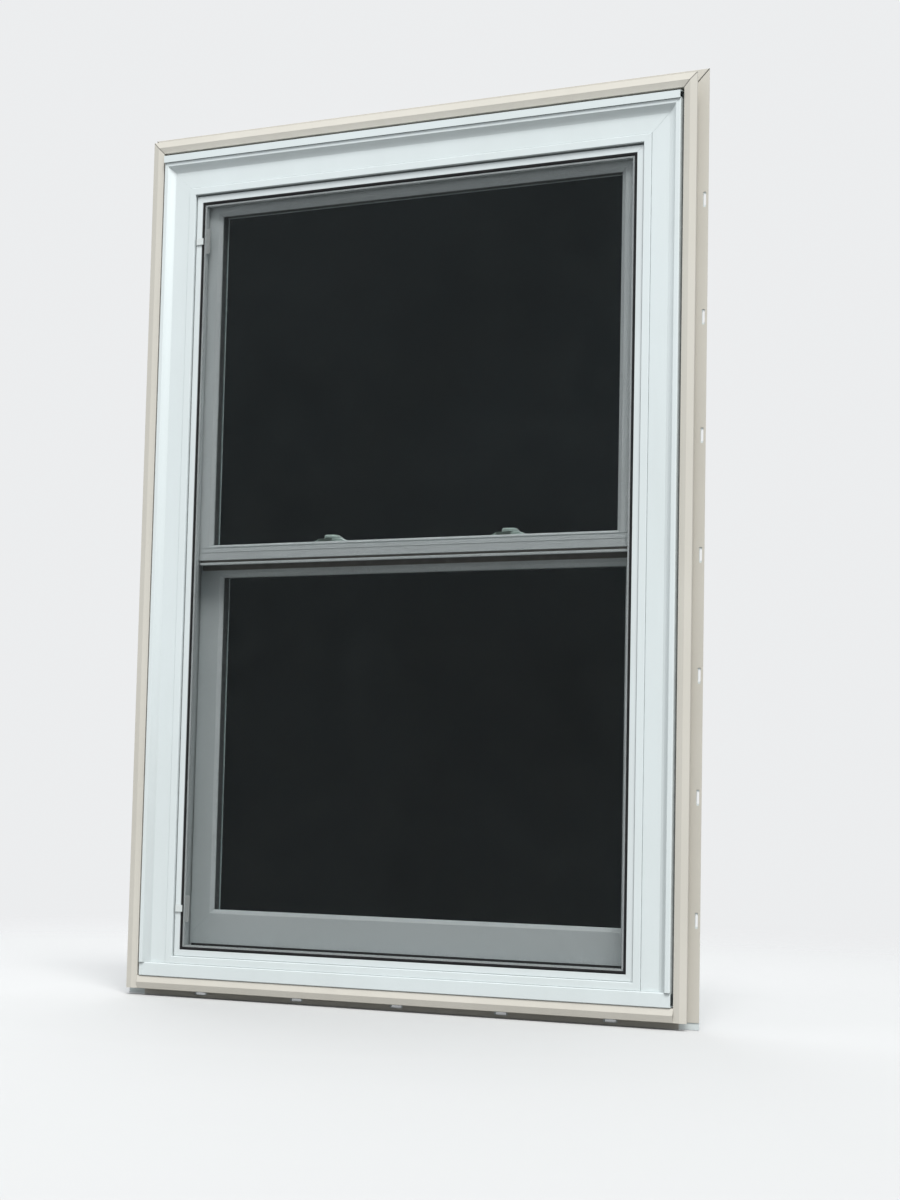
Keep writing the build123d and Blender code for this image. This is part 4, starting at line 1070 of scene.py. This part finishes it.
@dataclass
class Sash(SubAssembly):
    """One sash: its members, glazing and small parts."""

    name: str = "upper"
    rails: tuple[str, str] = ("top_rail", "meeting_rail")
    edge: float = 0.0006
    bead_edge: float = 0.0003
    interlock_edge: float = 0.0002
    pile_proud: float = 0.0021
    pile_width: float = 0.0045
    pile_sunk: float = 0.0004
    pile_short: float = 0.004
    pile_taper: float = 0.55
    pile_edge: float = 0.0004
    rib_reach: float = 0.0152
    rib_width: float = 0.0009
    rib_height: float = 0.0005
    rib_sunk: float = 0.0002
    rib_short: float = 0.0012
    rib_pitch: float = 0.0024
    ribs: int = 5
    # Height, front and tuck of the dark sweep, which paints the shaded gap between the upper meeting rail
    # and its pull lip.
    sweep_height: float = 0.0042
    sweep_front: float = 0.0032
    sweep_tuck: float = 0.001
    lip_height: float = 0.0044
    lip_front: float = 0.0004
    lip_back: float = 0.0072
    lip_short: float = 0.002
    line_proud: float = 0.0007
    line_drops: tuple[float, float] = (0.0032, 0.0125)
    line_heights: tuple[float, float] = (0.0016, 0.0013)
    line_edge: float = 0.0005
    strip_proud: float = 0.0014
    strip_sunk: float = 0.0006
    strip_inset: float = 0.0035
    # Height of the pile strip, made tall and dark as painted shade under the upper rail, and its gap below
    # that rail.
    meeting_shade_pile: float = 0.0125
    meeting_gap: float = 0.002
    # Where the dark foot seal, which paints the shadow gap under the bottom rail, starts and ends above the
    # rail's foot.
    foot_start: float = 0.004
    foot_height: float = 0.0178

    def dress(self) -> None:
        """Finish the members, beads, panes and running parts."""
        for rail in self.rails:
            self.soften(f"{self.name}_sash_{rail}", SASH_LEVEL, self.edge)
        for side in SIDES:
            self.soften(f"{self.name}_sash_stile_{side}", SASH_UPRIGHT, self.edge)
            self.soften(f"{self.name}_tilt_latch_{side}", NYLON)
        self.soften(f"{self.name}_glazing_beads", SASH_LEVEL, self.bead_edge)
        self.soften(f"{self.name}_interlock", SASH_LEVEL, self.interlock_edge)
        self.soften(f"{self.name}_spacer", SPACER, 0.0)
        for pane in ("outer_pane", "inner_pane"):
            self.soften(f"{self.name}_{pane}", GLASS, 0.0)
        self.soften(f"{self.name}_pivot_bars", STEEL)
        self.soften(f"{self.name}_balance_shoes", NYLON)
        if self.name == "lower":
            self.soften("lower_sill_seal", SEAL_RUBBER, 0.0)

    def lay_pile(self) -> None:
        """Lay a strip of pile up each stile, brushing the jamb."""
        for side, sign in SIDES.items():
            low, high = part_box(f"{self.name}_sash_stile_{side}")
            face = high.x if sign > 0 else low.x
            tip = face + sign * self.pile_proud
            front = low.y + self.pile_width
            pile = block(
                f"{self.name}_pile_{side}",
                tuple(sorted((face - sign * self.pile_sunk, tip))),
                (front, front + self.pile_width),
                (low.z + self.pile_short, high.z - self.pile_short),
            )
            middle = (tip, front + self.pile_width / 2, 0.0)
            with editing(pile, Part.FACES, lambda at, normal: normal.x * sign > FACING):
                bpy.ops.transform.resize(value=(1.0, self.pile_taper, 1.0), center_override=middle)
                bpy.ops.mesh.bevel(offset=self.pile_edge, segments=2)
            self.place(pile, PILE, "seal")

    def rib_latches(self) -> None:
        """Raise grip ribs across each latch's thumb tab."""
        for side, sign in SIDES.items():
            low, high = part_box(f"{self.name}_tilt_latch_{side}")
            first = (high.x if sign < 0 else low.x) + sign * self.rib_reach
            rib = block(
                f"{self.name}_grip_{side}",
                (first - self.rib_width / 2, first + self.rib_width / 2),
                (low.y + self.rib_short, high.y - self.rib_short),
                (high.z - self.rib_sunk, high.z + self.rib_height),
            )
            with editing(rib, Part.EDGES, lambda at, along: at.z > high.z + self.rib_height / 2):
                bpy.ops.mesh.bevel(offset=FINE_EDGE, segments=2)
            repeat(rib, self.ribs, Vector((sign * self.rib_pitch, 0.0, 0.0)))
            self.place(rib, NYLON, "moulding", f"{self.name}_tilt_latch_{side}")

    def strip(self, name: str, spans: tuple[Span, ...], finish: Finish, slot: str, edge: float) -> None:
        """Lay one straight strip along the sash, with its front edges rounded.

        Args:
            name: The strip's name.
            spans: Where it starts and ends along X, Y and Z.
            finish: Its finish.
            slot: Handed on to place.
            edge: Width of the rounding.
        """
        middle = sum(spans[1]) / 2
        strip = block(name, *spans)
        with editing(strip, Part.EDGES, lambda at, way: abs(way.x) > FACING and at.y < middle):
            bpy.ops.mesh.bevel(offset=edge, segments=3)
        self.place(strip, finish, slot)

    def trim_upper_rail(self) -> None:
        """Hang the pull lip and its dark sweep under the upper meeting rail, the sweep painting the shaded
        gap between rail and lip, and raise the lines on its face.
        """
        low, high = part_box("upper_sash_meeting_rail")
        across = (low.x + self.lip_short, high.x - self.lip_short)
        foot = low.z - self.sweep_height
        back = low.y + self.lip_back
        depth, height = (low.y + self.sweep_front, back), (foot - self.sweep_tuck, low.z + self.pile_sunk)
        # Painted shade: the dark sweep fills the gap between the rail and the pull lip.
        self.strip("upper_sweep_shade", (across, depth, height), PILE, "seal", self.pile_edge)
        depth, height = (low.y + self.lip_front, back), (foot - self.lip_height, foot)
        self.strip("upper_pull_lip", (across, depth, height), SASH_LEVEL, "vinyl_white", self.edge)
        depth = (low.y - self.line_proud, low.y + self.strip_sunk)
        for number, (drop, tall) in enumerate(zip(self.line_drops, self.line_heights), start=1):
            height = (high.z - drop - tall, high.z - drop)
            spans = (across, depth, height)
            self.strip(f"upper_rail_line_{number}", spans, SASH_LEVEL, "vinyl_white", self.line_edge)

    def trim_lower_rails(self) -> None:
        """Lay the pile under the upper rail and the dark seal along the foot of the bottom rail, both real
        kinds of weatherstrip made tall and dark as painted shade: the shade under the upper rail and the
        shadow gap under the bottom rail.
        """
        low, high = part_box("lower_sash_meeting_rail")
        across = (low.x + self.strip_inset, high.x - self.strip_inset)
        depth = (low.y - self.strip_proud, low.y + self.strip_sunk)
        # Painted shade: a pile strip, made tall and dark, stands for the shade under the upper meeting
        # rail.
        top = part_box("upper_sash_meeting_rail")[0].z - self.meeting_gap
        height = (top - self.meeting_shade_pile, top)
        self.strip("lower_meeting_shade_pile", (across, depth, height), PILE, "seal", self.edge)
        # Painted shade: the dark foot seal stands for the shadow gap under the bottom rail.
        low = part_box("lower_sash_bottom_rail")[0]
        depth = (low.y - self.strip_proud, low.y + self.strip_sunk)
        height = (low.z + self.foot_start, low.z + self.foot_height)
        self.strip("lower_foot_shade_seal", (across, depth, height), FOOT_SHADE_RUBBER, "seal", self.edge)


@dataclass
class Locks(SubAssembly):
    """The two cam locks and their keepers."""

    edge: float = 0.0008
    across: float = 0.178
    screw_spacing: float = 0.0345
    screw_radius: float = 0.0033
    screw_height: float = 0.0016
    dome: float = 0.0007
    recess: tuple[float, float] = (0.0020, 0.00045)
    recess_depth: float = 0.0009
    driver_height: float = 0.001
    end_height: float = 0.0079
    lean: float = math.radians(24.0)

    def dress(self) -> None:
        """Finish the castings."""
        self.soften("lock_bases", LOCK_COATING, self.edge)
        self.soften("lock_keepers", LOCK_COATING)
        for side in SIDES:
            self.soften(f"lock_cam_{side}", LOCK_COATING, self.edge)

    def screw(self) -> Piece:
        """Make one cross-recessed screw head, round the origin.

        Returns:
            The head.
        """
        top = self.screw_height / 2
        head = rod("screw_head", Vector(), self.screw_radius, self.screw_height, UP, sides=32)
        with editing(head, Part.FACES, lambda at, normal: normal.z > FACING):
            bpy.ops.mesh.bevel(offset=self.dome, segments=4)
        for x, y in (self.recess, self.recess[::-1]):
            height = (top - self.recess_depth, top + self.driver_height)
            arm = block("driver", (-x, x), (-y, y), height)
            finish_with(head, "BOOLEAN", operation="DIFFERENCE", solver="EXACT", object=arm)
            bpy.data.objects.remove(arm)
        return head

    def drive_screws(self) -> None:
        """Drive two screws into the sloping ends of each lock."""
        low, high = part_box("lock_bases")
        head = self.screw()
        screws = []
        for lock in (-self.across, self.across):
            for end in (-1.0, 1.0):
                x = lock + end * self.screw_spacing
                place = Vector((x, (low.y + high.y) / 2, low.z + self.end_height))
                screws.append(leaned(head, "screw", end * self.lean, place))
        bpy.data.objects.remove(head)
        self.place(joined("lock_screws", screws), STEEL, "steel")


@dataclass
class Balances(SubAssembly):
    """Rolled springs, the carriers that they turn on and the tapes that they wind up."""

    tape: float = 0.0003
    tape_cuts: int = 40

    def dress(self) -> None:
        """Finish the springs and carriers."""
        self.soften("balance_carriers", NYLON)
        for sash in ("upper", "lower"):
            for side in SIDES:
                self.soften(f"{sash}_balance_coil_{side}", STEEL, 0.0)

    def draw_tapes(self) -> None:
        """Draw each sash's two tapes from the springs down to its shoes, each cut many times along its
        height.
        """
        for sash in ("upper", "lower"):
            low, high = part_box(f"{sash}_balance_tapes")
            pair = []
            for near, far in ((low.x, low.x + self.tape), (high.x - self.tape, high.x)):
                tape = block("tape", (near, far), (low.y, high.y), (low.z, high.z))
                with editing(tape, Part.EDGES, facing("z")):
                    bpy.ops.mesh.subdivide(number_cuts=self.tape_cuts)
                pair.append(tape)
            tapes = joined(f"{sash}_tapes", pair)
            self.shelf.dress(tapes, STEEL)
            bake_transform(tapes)
            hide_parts(f"{sash}_balance_tapes")
            LOG.info("built %s: %d faces", tapes.name, len(tapes.data.polygons))


@dataclass
class Studio:
    """Floor, light and camera."""

    shelf: FinishShelf
    eye: Vector
    right: Vector
    up: Vector
    back: Vector
    lens: float = 68.1
    sensor: float = 36.0
    floor_size: float = 60.0
    floor_gap: float = 0.0003
    card_size: float = 2.6
    card_depth: float = 0.45
    sky: Colour = (0.94, 0.975, 1.0)
    backdrop: Colour = (0.84, 0.85, 0.86)
    light: float = 0.88
    light_below: float = 0.3
    dim_under: float = -0.5
    full_over: float = 0.7

    def lay_floor(self) -> None:
        """A wide pale floor just under the object."""
        level = CAD_BOX[0][2] - self.floor_gap
        floor = board("floor", Vector((0.0, 0.0, level)), self.floor_size, cells=4)
        self.shelf.dress(floor, FLOOR)

    def stand_shade_card(self) -> None:
        """Stand a dark card behind the window as painted shade for the unlit room, seen through its glass
        alone.
        """
        middle = Vector((0.0, self.card_depth, 0.0))
        card = board("unlit_room_shade_card", middle, self.card_size, cells=2, lean=math.pi / 2)
        self.shelf.dress(card, ROOM_SHADE_CARD)
        card.visible_camera = False
        card.visible_diffuse = False
        card.visible_glossy = False
        card.visible_shadow = False

    def light_world(self) -> None:
        """Soft light, stronger from above, with a pale backdrop that the camera, gloss and glass see."""
        world = bpy.data.worlds.new("studio")
        bpy.context.scene.world = world
        world.use_nodes = True
        bench = NodeBench(world.node_tree)
        lit = bench.tree.nodes["Background"]
        bench.feed(self.sky, lit.inputs["Color"])
        height = bench.axis(bench.node("ShaderNodeTexCoord").outputs["Generated"], "Z")
        dimmest = self.light * self.light_below
        strength = bench.ranged(height, self.dim_under, self.full_over, dimmest, self.light)
        bench.link(strength, lit.inputs["Strength"])
        plain = bench.node("ShaderNodeBackground", Color=(*self.backdrop, 1.0))
        rays = bench.node("ShaderNodeLightPath").outputs
        shown = bench.worked("MAXIMUM", rays["Is Camera Ray"], rays["Is Glossy Ray"])
        shown = bench.worked("MAXIMUM", shown, rays["Is Transmission Ray"])
        bench.show(shown, lit.outputs[0], plain.outputs[0], "World Output")

    def hang_lamp(self, name: str, place: Vector, size: float, watts: float, colour: Colour) -> None:
        """Hang a large soft lamp that points at the object's middle.

        Args:
            name: The lamp's name.
            place: Where it hangs.
            size: Length of its side.
            watts: Its power.
            colour: Its colour.
        """
        lamp = bpy.data.lights.new(name, "AREA")
        lamp.shape = "SQUARE"
        lamp.size = size
        lamp.energy = watts
        lamp.color = colour
        hung = bpy.data.objects.new(name, lamp)
        bpy.context.scene.collection.objects.link(hung)
        hung.location = place
        hung.rotation_euler = (-place).to_track_quat("-Z", "Y").to_euler()
        hung.visible_camera = False
        hung.visible_transmission = False

    def set_camera(self) -> None:
        """Put the camera where the photograph was taken from."""
        lens = bpy.data.cameras.new("camera")
        lens.lens = self.lens
        lens.sensor_width = self.sensor
        camera = bpy.data.objects.new("camera", lens)
        bpy.context.scene.collection.objects.link(camera)
        turn = Matrix((self.right, self.up, self.back)).transposed()
        camera.matrix_world = Matrix.Translation(self.eye) @ turn.to_4x4()
        bpy.context.scene.camera = camera

    def build(self) -> None:
        """Set up the studio."""
        self.lay_floor()
        self.stand_shade_card()
        self.light_world()
        key, fill = Vector((6.0, -9.4, 17.6)), Vector((-2.4, 2.6, 2.6))
        self.hang_lamp("key", key, size=7.6, watts=5100.0, colour=(1.0, 0.995, 0.98))
        self.hang_lamp("fill", fill, size=3.0, watts=60.0, colour=(0.97, 0.98, 1.0))
        bpy.context.scene.view_settings.view_transform = "Standard"
        self.set_camera()


def main() -> None:
    """Build the sub-assemblies in order, then the studio."""
    logging.basicConfig(level=logging.INFO, format="%(name)s %(message)s")
    deselect()
    shelf = FinishShelf()
    FrameAndTrim(shelf).dress()
    screen = InsectScreen(shelf)
    screen.dress()
    screen.press_bead()
    screen.weave()
    screen.hang_tabs()
    upper = Sash(shelf, "upper_sash", "upper", ("top_rail", "meeting_rail"))
    lower = Sash(shelf, "lower_sash", "lower", ("meeting_rail", "bottom_rail"))
    for sash in (upper, lower):
        sash.dress()
        sash.lay_pile()
        sash.rib_latches()
    upper.trim_upper_rail()
    lower.trim_lower_rails()
    locks = Locks(shelf, "lower_sash")
    locks.dress()
    locks.drive_screws()
    balances = Balances(shelf)
    balances.dress()
    balances.draw_tapes()
    Studio(
        shelf,
        eye=Vector((1.8497, -3.523, -0.4455)),
        right=Vector((0.89491, 0.44574, 0.02139)),
        up=Vector((0.02114, -0.09023, 0.9957)),
        back=Vector((0.44575, -0.8906, -0.09017)),
    ).build()


if __name__ == "__main__":
    main()
